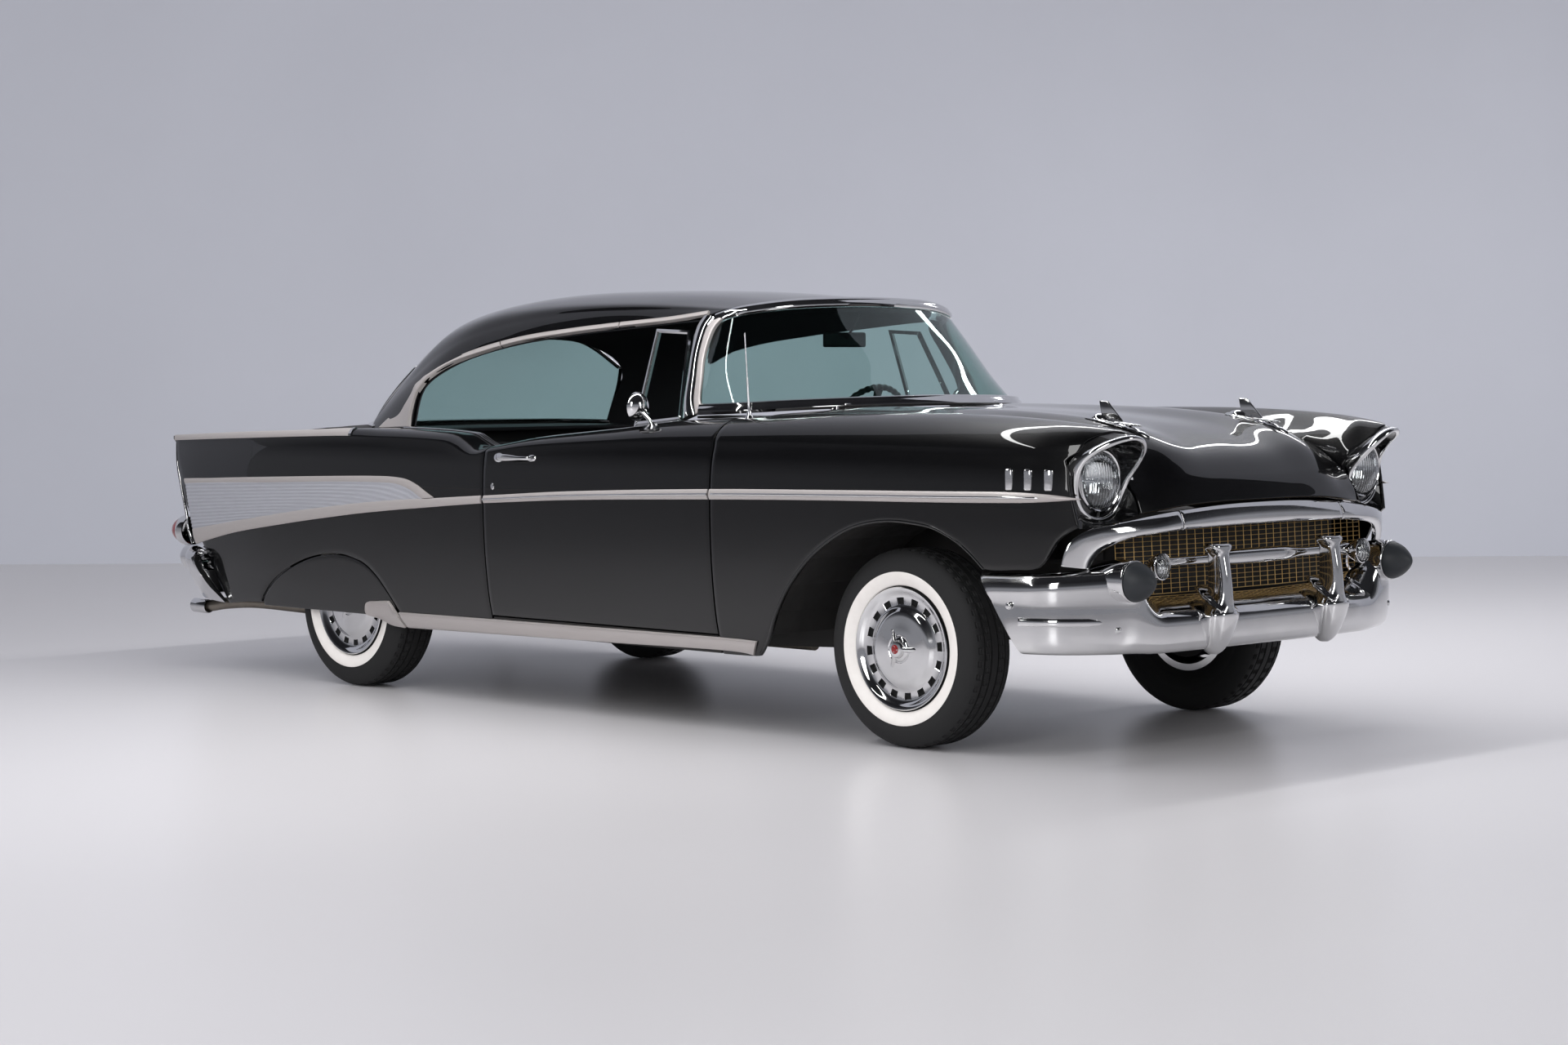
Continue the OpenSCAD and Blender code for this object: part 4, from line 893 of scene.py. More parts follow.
def placeWheels():
    tyre, covers = makeTyre(), {"front": makeCover(122.5), "rear": makeCover(110.5)}
    for end, (x, y) in wheelPlaces.items():
        for name, side in sides.items():
            body = "wheel_" + end[0] + name[0]
            move = Matrix.Translation(Vector((x, y * side, tyreShape["radius"])) * mm) @ Matrix.Diagonal((1, side, 1, 1))
            t = copied(tyre, f"tyreRubber_{end}_{name}", move)
            c = copied(covers[end], f"wheelCover_{end}_{name}", move)
            for piece, slot, node in ((t, "tyre", "tyre"), (c, "wheel_chrome", "wheel")):
                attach(piece, body)
                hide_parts(f"{node}_{end}_{name}")
                shade(piece, 32)
    for piece in [tyre] + list(covers.values()):
        bpy.data.objects.remove(piece)


placeWheels()
print("wheels done")

# trims: every strip is a band between two lines, with a section of (share of the width, height over the skin)
def onSkin(x, z, out=0.0):
    zc = smooth(bodyLines["crease"], x)
    if z <= zc:
        return np.array([x, bodyY(x, z) + out, z])
    zt, yt, yc = smooth(bodyLines["topZ"], x), smooth(bodyLines["topY"], x), bodyY(x, zc)
    turn = math.asin(min(1, (z - zc) / (zt - zc)))
    return np.array([x, yt + (yc - yt) * math.cos(turn) + out * math.cos(turn), z + out * math.sin(turn)])


def betweenLines(top, low, u):  # a point on each line, and the direction square to both
    t, l = onPath(top, u), onPath(low, u)
    d = onPath(top, min(u + 0.01, 1)) - onPath(top, max(u - 0.01, 0))
    d += onPath(low, min(u + 0.01, 1)) - onPath(low, max(u - 0.01, 0))
    o = np.cross(d, t - l)
    return t, l, o / max(np.linalg.norm(o), 1e-9)


def band(name, top, low, section, side, count=60, taper=0.0, outward=(0, 1, 0)):
    stations = []
    for i in range(count + 1):
        u = i / count
        t, l, o = betweenLines(top, low, u)
        o *= 1 if np.dot(o, outward) > 0 else -1
        k = 1 if not taper else min(1, 0.25 + min(u, 1 - u) / taper)
        stations.append([(l * (1 - s) + t * s + out * k * o) * [1, side, 1] for s, out in section])
    return laidTube(name, stations, angle=40)


def skinLine(points, out=0.0):
    return [onSkin(x, z, out) for x, z in points]


def level(table, x0, x1, count):
    return [[x, smooth(table, x)] for x in np.linspace(x0, x1, count)]


spear = {
    "top": [[-384, 771], [-344, 773], [111, 799], [804, 824], [1308, 834], [1896, 843], [2100, 846], [2210, 844],
            [2290, 838], [2340, 831], [2353, 828]],
    "low": [[-384, 743], [-344, 745], [111, 768], [804, 789], [1308, 800], [1896, 808], [2100, 812], [2210, 815],
            [2290, 820], [2340, 825], [2353, 826]],
    "section": [[0, -3], [0, 2], [0.08, 4.5], [0.24, 6.5], [0.4, 7.5], [0.6, 7.5], [0.76, 6.5], [0.92, 4.5], [1, 2],
                [1, -3]],
    "bead": [[0.36, 5], [0.38, 9], [0.44, 11], [0.5, 11.6], [0.56, 11], [0.62, 9], [0.64, 5]]}
sweep = {
    "top": [[-384, 771], [-566, 760], [-680, 753], [-900, 741], [-1137, 722], [-1360, 700], [-1584, 676],
            [-1936, 632], [-2130, 607], [-2322, 581]],
    "low": [[-384, 742], [-566, 729], [-680, 720], [-900, 703], [-1137, 682], [-1360, 658], [-1584, 632],
            [-1936, 587], [-2130, 554], [-2300, 520]]}
border = {
    "outer": [[-2376, 788], [-1815, 807], [-1250, 824], [-1000, 829], [-894, 827], [-827, 820], [-765, 801],
              [-710, 776], [-664, 756]],
    "inner": [[-2370, 766], [-1815, 785], [-1250, 802], [-1010, 805], [-917, 804], [-861, 797], [-806, 782],
              [-768, 766], [-738, 751]]}
insert = {"top": [[-2371, 770], [-1815, 788], [-1250, 804], [-1010, 807], [-917, 806], [-861, 799], [-806, 784],
                  [-768, 768], [-738, 753]],
          "low": [[-2323, 578], [-2130, 604], [-1936, 629], [-1584, 673], [-1360, 697], [-1137, 719], [-900, 738],
                  [-800, 745], [-735, 749]],
          "pitch": 14.5, "rib": 2.4, "columns": 80, "rows": 110}


def makeInsert(name, side):
    rows, back = [], []
    for j in range(insert["rows"] + 1):
        row = []
        for i in range(insert["columns"] + 1):
            u = i / insert["columns"]
            (xt, zt), (xl, zl) = onPath(insert["top"], u), onPath(insert["low"], u)
            v = j / insert["rows"]
            x, z = xl + (xt - xl) * v, zl + (zt - zl) * v
            phase = ((zt - z) / insert["pitch"]) % 1
            rise = insert["rib"] * max(0, math.sin(math.pi * min(1, phase / 0.62))) ** 0.6 if phase < 0.62 else 0
            row.append(onSkin(x, z, 1.5 + rise) * [1, side, 1])
        rows.append(row)
        back.append([q - np.array([0, 3 * side, 0]) for q in row])
    return laidShell("finInsert_" + name, rows, back, 0, 60)


finStrip = {"x0": -2486, "x1": -1222, "section": [[1.18, -2], [1.18, 2], [1.3, 3.6], [1.6, 4.4], [1.85, 4.2], [1.97, 3],
                                                 [2, 1.5], [2, -2]]}


def makeFinStrip(name, side, x0, x1, extra=0.0):
    stations = []
    for i in range(49):
        x = x0 + (x1 - x0) * i / 48
        row = []
        for v, out in finStrip["section"]:
            p = np.array(sidePoint(x, 280, v)) + (out + extra) * inward(v)
            row.append(p * [1, side, 1])
        stations.append(row)
    return laidTube("finStrip_" + name, stations, angle=40)


rocker = {"top": [[-938, 311], [-420, 315], [200, 318], [839, 320], [1012, 317]],
          "low": [[-902, 253], [-420, 259], [200, 267], [839, 276], [984, 268]],
          "section": [[0, -4], [0, 4], [0.05, 7], [0.2, 8], [0.5, 9.5], [0.8, 9], [0.92, 7], [0.96, 9.5], [1, 7],
                      [1, -4]]}
shield = {"outer": [[-1146, 292], [-1150, 306], [-1140, 330], [-1122, 342], [-1060, 347], [-1000, 351], [-986, 345],
                    [-950, 300], [-916, 254]],
          "inner": [[-1140, 288], [-1115, 283], [-1090, 280], [-1068, 276], [-1046, 269], [-1028, 262], [-1010, 257],
                    [-980, 253], [-930, 251]]}


def makeRocker(name, side):
    top, low = ([[p[0], p[1], p[2]] for p in skinLine(rocker[k])] for k in ("top", "low"))
    return band("rockerTrim_" + name, top, low, rocker["section"], side, 80)


def makeShield(name, side):
    top, low = skinLine(shield["outer"], 2), skinLine(shield["inner"], 2)
    plate = band("gravelShield_" + name, top, low, [[0, -3], [0, 1], [0.06, 3.5], [0.5, 5], [0.9, 4.5], [0.95, 7],
                                                    [0.99, 7], [1, 2], [1, -3]], side, 60)
    return plate


drip = {
    "low": [[-1064, 722, 1012], [-1069, 716, 1048], [-1066, 712, 1083], [-1058, 706, 1116], [-1045, 700, 1146],
            [-1024, 692, 1174], [-998, 685, 1199], [-894, 668, 1249], [-712, 655, 1294], [-490, 640, 1335],
            [-229, 625, 1362], [24, 610, 1382], [266, 592, 1399], [452, 577, 1418]],
    "high": [[-1338, 664, 1004], [-1264, 659, 1055], [-1206, 657, 1105], [-1151, 656, 1153], [-1122, 654, 1181],
             [-1085, 653, 1200], [-1048, 652, 1216], [-930, 650, 1259], [-735, 645, 1311], [-500, 631, 1353],
             [-235, 616, 1380], [20, 601, 1399], [262, 584, 1415], [450, 568, 1434]],
    "section": [[0, -9], [0, 6], [0.04, 9], [0.14, 9.5], [0.22, 6], [0.5, 6.5], [0.85, 5.5], [0.95, 6.5],
                [1, 4], [1, -4]],
    "joints": [0, 0.30, 0.655, 0.845, 1]}


def makeDrip(name, side):
    pieces = []
    for k in range(4):
        a, b = drip["joints"][k] + (0.0012 if k else 0), drip["joints"][k + 1] - (0.0012 if k < 3 else 0)
        high = [onPath(drip["high"], a + (b - a) * i / 24) for i in range(25)]
        low = [onPath(drip["low"], a + (b - a) * i / 24) for i in range(25)]
        pieces.append(band("dripPart", high, low, drip["section"], side, 48, outward=(0, 0.8, 0.6)))
    return joined("dripMoulding_" + name, pieces)


pillar = {
    "outer": [[500, 746, 1050], [485, 724, 1120], [478, 702, 1189], [452, 657, 1285], [431, 612, 1369],
              [452, 592, 1414]],
    "inner": [[606, 745, 1084], [574, 730, 1120], [558, 707, 1189], [531, 667, 1278], [524, 620, 1366],
              [540, 590, 1404]],
    "satin": [[0, -8], [0, 5], [0.05, 8], [0.3, 9], [0.36, 6], [0.36, -8]],
    "bright": [[0.39, -8], [0.39, 6], [0.46, 12], [0.6, 15.5], [0.75, 16], [0.88, 13], [0.97, 6], [1, 0], [1, -8]]}
screenLines = {
    "low": [[580, 742, 1084], [690, 736, 1087], [775, 706, 1091], [850, 610, 1097], [918, 445, 1103], [965, 230, 1107],
            [982, 0, 1109]],
    "high": [[505, 594, 1398], [545, 575, 1412], [590, 538, 1426], [636, 440, 1441], [668, 330, 1451],
             [692, 170, 1457], [700, 0, 1459]]}


def swept(name, line, section, count=96, centre=(200, 0)):  # section of (away from the centre, up) along a line
    full = [[x, -y, z] for x, y, z in line] + [[x, y, z] for x, y, z in line[-2::-1]]
    stations = []
    for i in range(count + 1):
        p = onPath(full, i / count)
        a = np.array([p[0] - centre[0], p[1] - centre[1], 0])
        a /= np.linalg.norm(a)
        stations.append([p + a * out + np.array([0, 0, up]) for out, up in section])
    return laidTube(name, stations, angle=40)


lowMoulding = [[-12, 8], [-8, 20], [2, 25], [10, 22], [13, 14], [20, 8], [23, -4], [16, -14], [-6, -14]]
highMoulding = [[10, -8], [14, 0], [12, 8], [4, 14], [2, 20], [-8, 26], [-22, 27], [-22, 12], [-6, 2], [2, -10]]


for name, side in sides.items():
    door = "door_" + name[0]
    for part, x0, x1, body in (("Front", 830, 2353, "body"), ("Door", -368, 822, door)):
        n = 24
        top, low = skinLine(level(spear["top"], x0, x1, n)), skinLine(level(spear["low"], x0, x1, n))
        brushed(band("spear" + part + "_" + name, top, low, spear["section"], side, 90), body)
        tip = x1 if part == "Door" else 2240
        top, low = skinLine(level(spear["top"], x0, tip, n)), skinLine(level(spear["low"], x0, tip, n))
        dressed(band("spearBead" + part + "_" + name, top, low, spear["bead"], side, 90,
                     0.02 if part == "Front" else 0), body, finish["chrome"])
    lower = band("finSweep_" + name, skinLine(sweep["top"]), skinLine(sweep["low"]),
                 [[0, -3], [0, 3], [0.08, 5.5], [0.3, 7], [0.5, 8], [0.7, 7], [0.92, 5.5], [1, 3], [1, -3]], side, 100)
    upper = band("finBorder_" + name, skinLine(border["outer"]), skinLine(border["inner"]),
                 [[0, -3], [0, 3], [0.12, 5], [0.5, 6.5], [0.88, 5], [1, 3], [1, -3]], side, 100)
    dressed(joined("finTrim_" + name, [lower, upper, makeFinStrip(name, side, finStrip["x0"], finStrip["x1"])]), "body",
            finish["satin"])
    finTip = makeFinStrip(name, side, -1221, -1206, 1.2)
    finTip.name = finTip.data.name = "finTip_" + name
    plated(finTip)
    dressed(makeInsert(name, side), "body", finish["ribbed"])
    brushed(makeRocker(name, side))
    brushed(makeShield(name, side))
    brushed(makeDrip(name, side))
    dressed(band("pillarStrip_" + name, pillar["outer"], pillar["inner"], pillar["satin"], side, 60,
                 outward=(-0.2, 1, 0.2)), "body", finish["satin"])
    dressed(band("pillarChrome_" + name, pillar["outer"], pillar["inner"], pillar["bright"], side, 60,
                 outward=(-0.2, 1, 0.2)), "body", finish["chrome"])
    # thin bright lines round the opening behind the door, where the belt dips
    lines = []
    for v, x1 in ((3.0, -384), (2.86, -384), (2.72, -430)):
        points = [quarterPoint([x, 280], v) for x in np.linspace(-1060, x1, 26)]
        lines.append(rod("beltLine", [[p[0], p[1] * side, p[2] + 2] for p in points], 3.2, 8))
    plated(joined("beltLines_" + name, lines))
    points = [[x, (smooth(bodyLines["topY"], x) - 12) * side, smooth(bodyLines["topZ"], x) - 1]
              for x in np.linspace(-366, 480, 30)]
    plated(rod("doorSill_" + name, points, 4, 10), door)
frameParts = [swept("lowMoulding", screenLines["low"], lowMoulding), swept("highMoulding", screenLines["high"],
                                                                           highMoulding)]
plated(joined("screenSurround", frameParts), "body", ["windshield_frame"])
rear = netLines["rearGlass"]
edge = [row[3] for row in rear][::-1]
lowLine = [[x, -y, z] for x, y, z in [[-1394, 640, 1006]] + edge] + [[x, y, z] for x, y, z in edge[-2::-1]
                                                                    + [[-1394, 640, 1006]]]
edge = [row[0] for row in rear][::-1]
highLine = [[x, -y, z] for x, y, z in edge] + [[x, y, z] for x, y, z in edge[-2::-1]]
rearParts = [rod("rearLow", [[x - 6, y, z - 2] for x, y, z in (onPath(lowLine, i / 60) for i in range(61))], 10, 12),
             rod("rearHigh", [[x - 4, y, z + 2] for x, y, z in (onPath(highLine, i / 60) for i in range(61))], 8, 12)]
for name, side in sides.items():
    rearParts.append(rod("rearSide", line3([onPath(rear[2], i / 20) + [0, 8, 0] for i in range(21)], side), 9, 12))
plated(joined("rearWindowTrim", rearParts))
print("trims done")

# nose: lamp bezels with their brows, the black face round them, the lip over the grille, mesh and lamps
lampPlace = {"y": 703, "z": 880, "x": 2334}
bezel = {
    "outline": [[0, 752, 2328], [52, 764, 2326], [88, 794, 2323], [107, 836, 2322], [112, 885, 2326],
                [110, 932, 2344], [98, 972, 2384], [66, 1003, 2432], [24, 1018, 2458], [-16, 1019, 2466],
                [-52, 1006, 2464], [-84, 974, 2444], [-101, 928, 2404], [-106, 882, 2364], [-104, 838, 2342],
                [-90, 798, 2332], [-56, 766, 2330]],
    "section": [[0, -30], [2, -14], [1.5, -3], [-1.5, 4], [-7, 7], [-13, 5], [-16, -1], [-15, -8], [-9, -14],
                [-6, -30]],
    "stations": 120, "ringRadius": 95}


def bezelLoop(count):
    return closedPath([[x, lampPlace["y"] + a, z] for a, z, x in bezel["outline"]], count)


def away(p):
    d = np.array([0, p[1] - lampPlace["y"], (p[2] - lampPlace["z"]) * 0.9])
    return d / np.linalg.norm(d)


def makeBezel(name, side):
    loop = bezelLoop(bezel["stations"])
    stations = [[(p + out * away(p) + [forward, 0, 0]) * [1, side, 1] for out, forward in bezel["section"]]
                for p in loop]
    return laidTube("lampBezel_" + name, stations + [stations[0]], capped=False, angle=50)


def makeRecess(name, side):  # black cone from the bezel in to the lamp's ring
    rows = []
    for t in (0, 0.12, 0.35, 0.65, 1):
        row = []
        for p in bezelLoop(bezel["stations"]):
            a, rim = away(p), p - 14 * away(p) + [-4, 0, 0]
            ring = np.array([lampPlace["x"] - 6, lampPlace["y"], lampPlace["z"]]) + (bezel["ringRadius"] - 3) * a
            q = rim * (1 - t) + ring * t
            row.append(q - [max(0, rim[0] - ring[0]) * 0.35 * math.sin(math.pi * t), 0, 0])
        rows.append(row + [row[0]])
    outer = [[q * [1, side, 1] for q in row] for row in rows]
    inner = [[(q - [3, 0, 0]) * [1, side, 1] for q in row] for row in rows]
    return laidShell("lampRecess_" + name, outer, inner, 0, 60)


def makeLamp(name, side):
    at = (lampPlace["x"], lampPlace["y"] * side, lampPlace["z"])
    ring = turned("lampRing_" + name, [[97, -10], [99, -4], [98, 2], [94, 5], [90, 3], [88.5, -3], [89, -10],
                                       [97, -10]],
                  72, (1, 0, 0), at)
    plated(ring)
    bowl = turned("lampReflector_" + name, [[88, -8], [86, -20], [74, -38], [52, -54], [24, -63], [0, -65], [0, -68],
                                            [26, -66], [54, -57], [77, -40], [89, -22], [90, -8], [88, -8]], 64,
                  (1, 0, 0), at)
    dressed(bowl, "body", finish["mirrorGlass"])
    lens = turned("lampLens_" + name, [[88, -6], [84, 6], [70, 15], [48, 22], [24, 26], [0, 27], [0, 23], [24, 22],
                                       [47, 18], [68, 11], [81, 3], [84, -6], [88, -6]], 64, (1, 0, 0), at)
    dressed(lens, "body", finish["fluted"], ["headlamp_" + name])
    bulb = turned("lampBulb_" + name, [[0, 2], [9, 0], [12, -8], [10, -22], [5, -34], [5, -64], [0, -64]], 20,
                  (1, 0, 0),
                  at)
    dressed(bulb, "body", finish["mirrorGlass"])


faceEdge = {"v": [0, 0.2, 0.4, 0.6, 0.8, 1, 1.25, 1.5, 1.75, 2, 2.2, 2.4, 2.6, 2.8, 3],
            "rest": [[2374, 589, 834], [2390, 589, 800], [2398, 592, 776], [2394, 612, 766], [2385, 690, 750],
                     [2352, 782, 734], [2343, 812, 734]]}


def makeFace(name, side):  # black panel between the bezel and the edges of fender, hood and lip
    edge = [fenderPoint([2264, 740], v) for v in faceEdge["v"]] + faceEdge["rest"]
    angles = [math.atan2(q[2] - lampPlace["z"], q[1] - lampPlace["y"]) for q in edge]
    order = sorted(range(len(edge)), key=lambda k: angles[k])
    angles, edge = [angles[k] for k in order], [edge[k] for k in order]
    angles = [angles[-1] - 2 * math.pi] + angles + [angles[0] + 2 * math.pi]
    edge = np.array([edge[-1]] + edge + [edge[0]], float)
    rows = []
    loop = bezelLoop(bezel["stations"])
    for t in np.linspace(0, 1, 9):
        row = []
        for p in loop:
            a = math.atan2(p[2] - lampPlace["z"], p[1] - lampPlace["y"])
            q = np.array([np.interp(a, angles, edge[:, k]) for k in range(3)])
            rim = p - [12, 0, 0] - 3 * away(p)
            q = q - away(q) * 2 - [3, 0, 0]
            row.append(rim * (1 - t) + q * t)
        rows.append(row + [row[0]])
    outer = [[q * [1, side, 1] for q in row] for row in rows]
    inner = [[(q - [6, 0, 0]) * [1, side, 1] for q in row] for row in rows]
    return laidShell("lampFace_" + name, outer, inner, 0, 50)


lip = {
    "top": [[2432, 0, 796], [2430, 200, 793], [2422, 400, 783], [2410, 540, 770], [2390, 680, 751], [2352, 780, 733],
            [2318, 838, 690], [2300, 852, 622]],
    "low": [[2440, 0, 729], [2439, 200, 728], [2436, 400, 724], [2430, 540, 717], [2400, 656, 702], [2366, 728, 672],
            [2346, 756, 640], [2338, 764, 612]],
    # share of the way down, outwards, up
    "section": [[0, 0, 0], [0.08, 6, 0], [0.3, 11, 0], [0.55, 14, 0], [0.8, 14, 0], [0.94, 11, -1], [1, 5, -4],
                [1, -3, -4], [1, -10, 2], [0.9, -8, 6], [0.5, -2, 0], [0.1, -8, 0]],
    "cuts": [0, 0.345, 0.655, 1]}


def makeLip():
    top, low = wholeLine(lip["top"]), wholeLine(lip["low"])
    pieces = []
    for k in range(3):
        a, b = lip["cuts"][k] + (0.0012 if k else 0), lip["cuts"][k + 1] - (0.0012 if k < 2 else 0)
        stations = []
        for i in range(49):
            u = a + (b - a) * i / 48
            t, l, o = betweenLines(top, low, u)
            stations.append([t * (1 - s) + l * s + out * o + np.array([0, 0, up]) for s, out, up in lip["section"]])
        pieces.append(laidTube("lipPart", stations, bevel=1, angle=50))
    return joined("grilleLip", pieces)


def makeFloatingBar():
    stations = []
    for i in range(81):
        y = -512 + 1024 * i / 80
        high = 15 + 11 * math.exp(-(y / 205) ** 6) + 5 * math.exp(-((abs(y) - 500) / 26) ** 2)
        deep = 15 + 8 * math.exp(-(y / 215) ** 6)
        stations.append([[2404 + deep * math.copysign(abs(math.cos(a)) ** 0.8, math.cos(a)), y,
                          620 + high * math.copysign(abs(math.sin(a)) ** 0.8, math.sin(a))]
                         for a in circle(32)])
    return laidTube("floatingBar", stations, bevel=2, angle=50)


def makeParkingLamp(name, side):
    at = (2392, 540 * side, 611)
    cup = turned("parkingLampCup", [[0, 0], [16, 0], [26, 10], [34, 26], [41, 42], [43, 52], [42, 57], [39, 58], [36, 54],
                                    [33, 40], [24, 22], [0, 16]], 48, (1, 0, 0), at)
    glass = turned("parkingLens_" + name, [[37, 53], [33, 60], [23, 66], [11, 69], [0, 70], [0, 66], [22, 62], [31, 56],
                                           [34, 50], [37, 53]], 40, (1, 0, 0), at)
    dressed(glass, "body", finish["fluted"])
    return cup


mesh = {"cell": [41, 15], "wire": 3.0, "low": 520, "high": 742, "half": 656, "x": 2390, "curve": 34}


def makeMesh():
    across, up = round(2 * mesh["half"] / mesh["cell"][0]), round((mesh["high"] - mesh["low"]) / mesh["cell"][1])
    rows = []
    for j in range(up + 1):
        z = mesh["low"] + mesh["cell"][1] * j
        row = []
        for i in range(across + 1):
            y = -mesh["half"] + 2 * mesh["half"] * i / across
            row.append([mesh["x"] - mesh["curve"] * (y / mesh["half"]) ** 2 - (z - 620) * 0.05, y, z])
        rows.append(row)
    piece = laidGrid("grilleMesh", rows)
    applied(piece, "WIREFRAME", thickness=mesh["wire"] * mm, use_boundary=True, use_even_offset=False, use_replace=True)
    tidyNormals(piece)
    shade(piece, 30)
    return piece


def hoodHeight(x, y):
    best, depth = None, None
    for u in np.linspace(0, 0.6, 61):
        cross = [onPath(r, u) for r in netLines["hood"]]
        ys, xs, zs = [c[1] for c in cross], [c[0] for c in cross], [c[2] for c in cross]
        xx, zz = np.interp(abs(y), ys, xs), np.interp(abs(y), ys, zs)
        if best is None or abs(xx - x) < depth:
            best, depth = zz, abs(xx - x)
    return float(best)


ornament = {"y": 372,
            "fin": [[2061, 1121.5], [2096, 1121.5], [2160, 1056], [2152, 1044], [2080, 1044], [2070, 1080]]}


def makeOrnament(name, side):
    y0 = ornament["y"] * side
    parts = []
    # upright fin, thin at its edges
    fin = ornament["fin"]
    cx, cz = sum(p[0] for p in fin) / 6, sum(p[1] for p in fin) / 6
    stations = [[[cx + (x - cx) * k, y0 + w, cz + (z - cz) * k] for x, z in fin]
                for w, k in ((-3.6, 0.93), (-2.2, 1), (2.2, 1), (3.6, 0.93))]
    parts.append(laidTube("fin", stations, bevel=1, angle=30))
    # round tail
    bulb = turned("tail", [[0, -8], [12, -5], [18, 2], [21, 14], [22, 28], [19, 44], [12, 58], [0, 70]], 32, (1, 0, 0),
                  (2030, y0, 1060))
    parts.append(bulb)
    # slim wing forward over the hood
    stations = []
    for i in range(25):
        t = i / 24
        x, z = 2040 + 194 * t, 1056 - 15 * t
        half, high = 24 * (1 - t) ** 0.7 + 3, 9 * (1 - t) ** 0.5 + 2
        stations.append([[x, y0 + half * math.cos(a), z + high * math.sin(a) * (1 if math.sin(a) > 0 else 0.6)]
                         for a in circle(24)])
    parts.append(laidTube("wing", stations, bevel=1))
    # base plate on the hood
    stations = []
    for i in range(33):
        t = i / 32
        x = 2016 + 250 * t
        half = 30 * math.sin(math.pi * min(1, 0.16 + 0.84 * t)) ** 0.7 + 2
        z = hoodHeight(x, y0)
        stations.append([[x, y0 + half * math.cos(a), z + (8 * math.sin(a) if math.sin(a) > 0 else 3 * math.sin(a))]
                         for a in circle(24)])
    parts.append(laidTube("base", stations, bevel=1))
    return joined("hoodOrnament_" + name, parts)


louvres = {"x": [2128, 2194, 2260], "low": 851, "high": 918, "half": 12, "proud": 8}


def makeLouvres(name, side):
    parts = []
    for x in louvres["x"]:
        y = bodyY(x, 885)
        slope = (bodyY(x + 15, 885) - bodyY(x - 15, 885)) / 30
        piece = slab("louvre", (x - louvres["half"], y - 5, louvres["low"]), (x + louvres["half"], y + louvres["proud"],
                                                                              louvres["high"]), 6, 4)
        co = meshPoints(piece) / mm
        co[:, 1] += slope * (co[:, 0] - x) - 2.5 * ((co[:, 0] - x) / 12 > 0.2)
        co[:, 1] *= side
        piece.data.vertices.foreach_set("co", (co * mm).ravel())
        tidyNormals(piece)
        parts.append(piece)
    return joined("fenderLouvres_" + name, parts)


surround = [makeLip(), makeFloatingBar()]
for name, side in sides.items():
    plated(makeBezel(name, side))
    painted(makeRecess(name, side), "body")
    painted(makeFace(name, side), "body")
    makeLamp(name, side)
    surround.append(makeParkingLamp(name, side))
    plated(makeOrnament(name, side), "hood_panel")
    plated(makeLouvres(name, side))
    button = turned("hoodButton_" + name, [[0, -6], [9, -6], [9, 2], [7, 5], [3, 7], [0, 7.5]], 24, (0.8, 0, 0.6),
                    (2336, 556 * side, 882))
    plated(button, "hood_panel")
plated(joined("grilleSurround", surround), "body", ["grille_surround"])
dressed(makeMesh(), "body", finish["gold"], ["grille"])
print("nose done")

# seats: cushions blown up by a short cloth simulation between sewn channels
cushionSim = {"loop": 64, "seam": 0.11, "seamDepth": 7, "pressure": 4, "frames": 20, "mostMove": 0.014}
seatBack = [[-398, 566], [-372, 600], [-392, 690], [-424, 780], [-452, 846], [-478, 868], [-508, 860], [-520, 826],
            [-500, 740], [-482, 640], [-470, 566]]
seatPads = {
    # side outline of each pad in (x, z), half width, middle y, channel pitch across
    "frontCushion": {"outline": [[190, 420], [198, 470], [196, 530], [176, 574], [130, 590], [0, 584], [-150, 574],
                                 [-300, 562], [-392, 552], [-404, 500], [-396, 420]],
                     "half": 632, "y": 0, "pitch": 92, "node": "front_seat"},
    "frontBackLeft": {"outline": seatBack,
                      "half": 286, "y": 318, "pitch": 82},
    "frontBackRight": {"outline": seatBack,
                       "half": 286, "y": -318, "pitch": 82},
    "rearCushion": {"outline": [[-516, 420], [-512, 480], [-516, 550], [-540, 594], [-600, 606], [-760, 600],
                                [-920, 590], [-946, 560], [-946, 420]],
                    "half": 600, "y": 0, "pitch": 92, "node": "rear_seat"},
    "rearBack": {"outline": [[-930, 590], [-946, 630], [-990, 716], [-1044, 800], [-1086, 850], [-1130, 866],
                             [-1178, 856], [-1190, 820], [-1130, 740], [-1080, 660], [-1040, 590]],
                 "half": 600, "y": 0, "pitch": 92}}


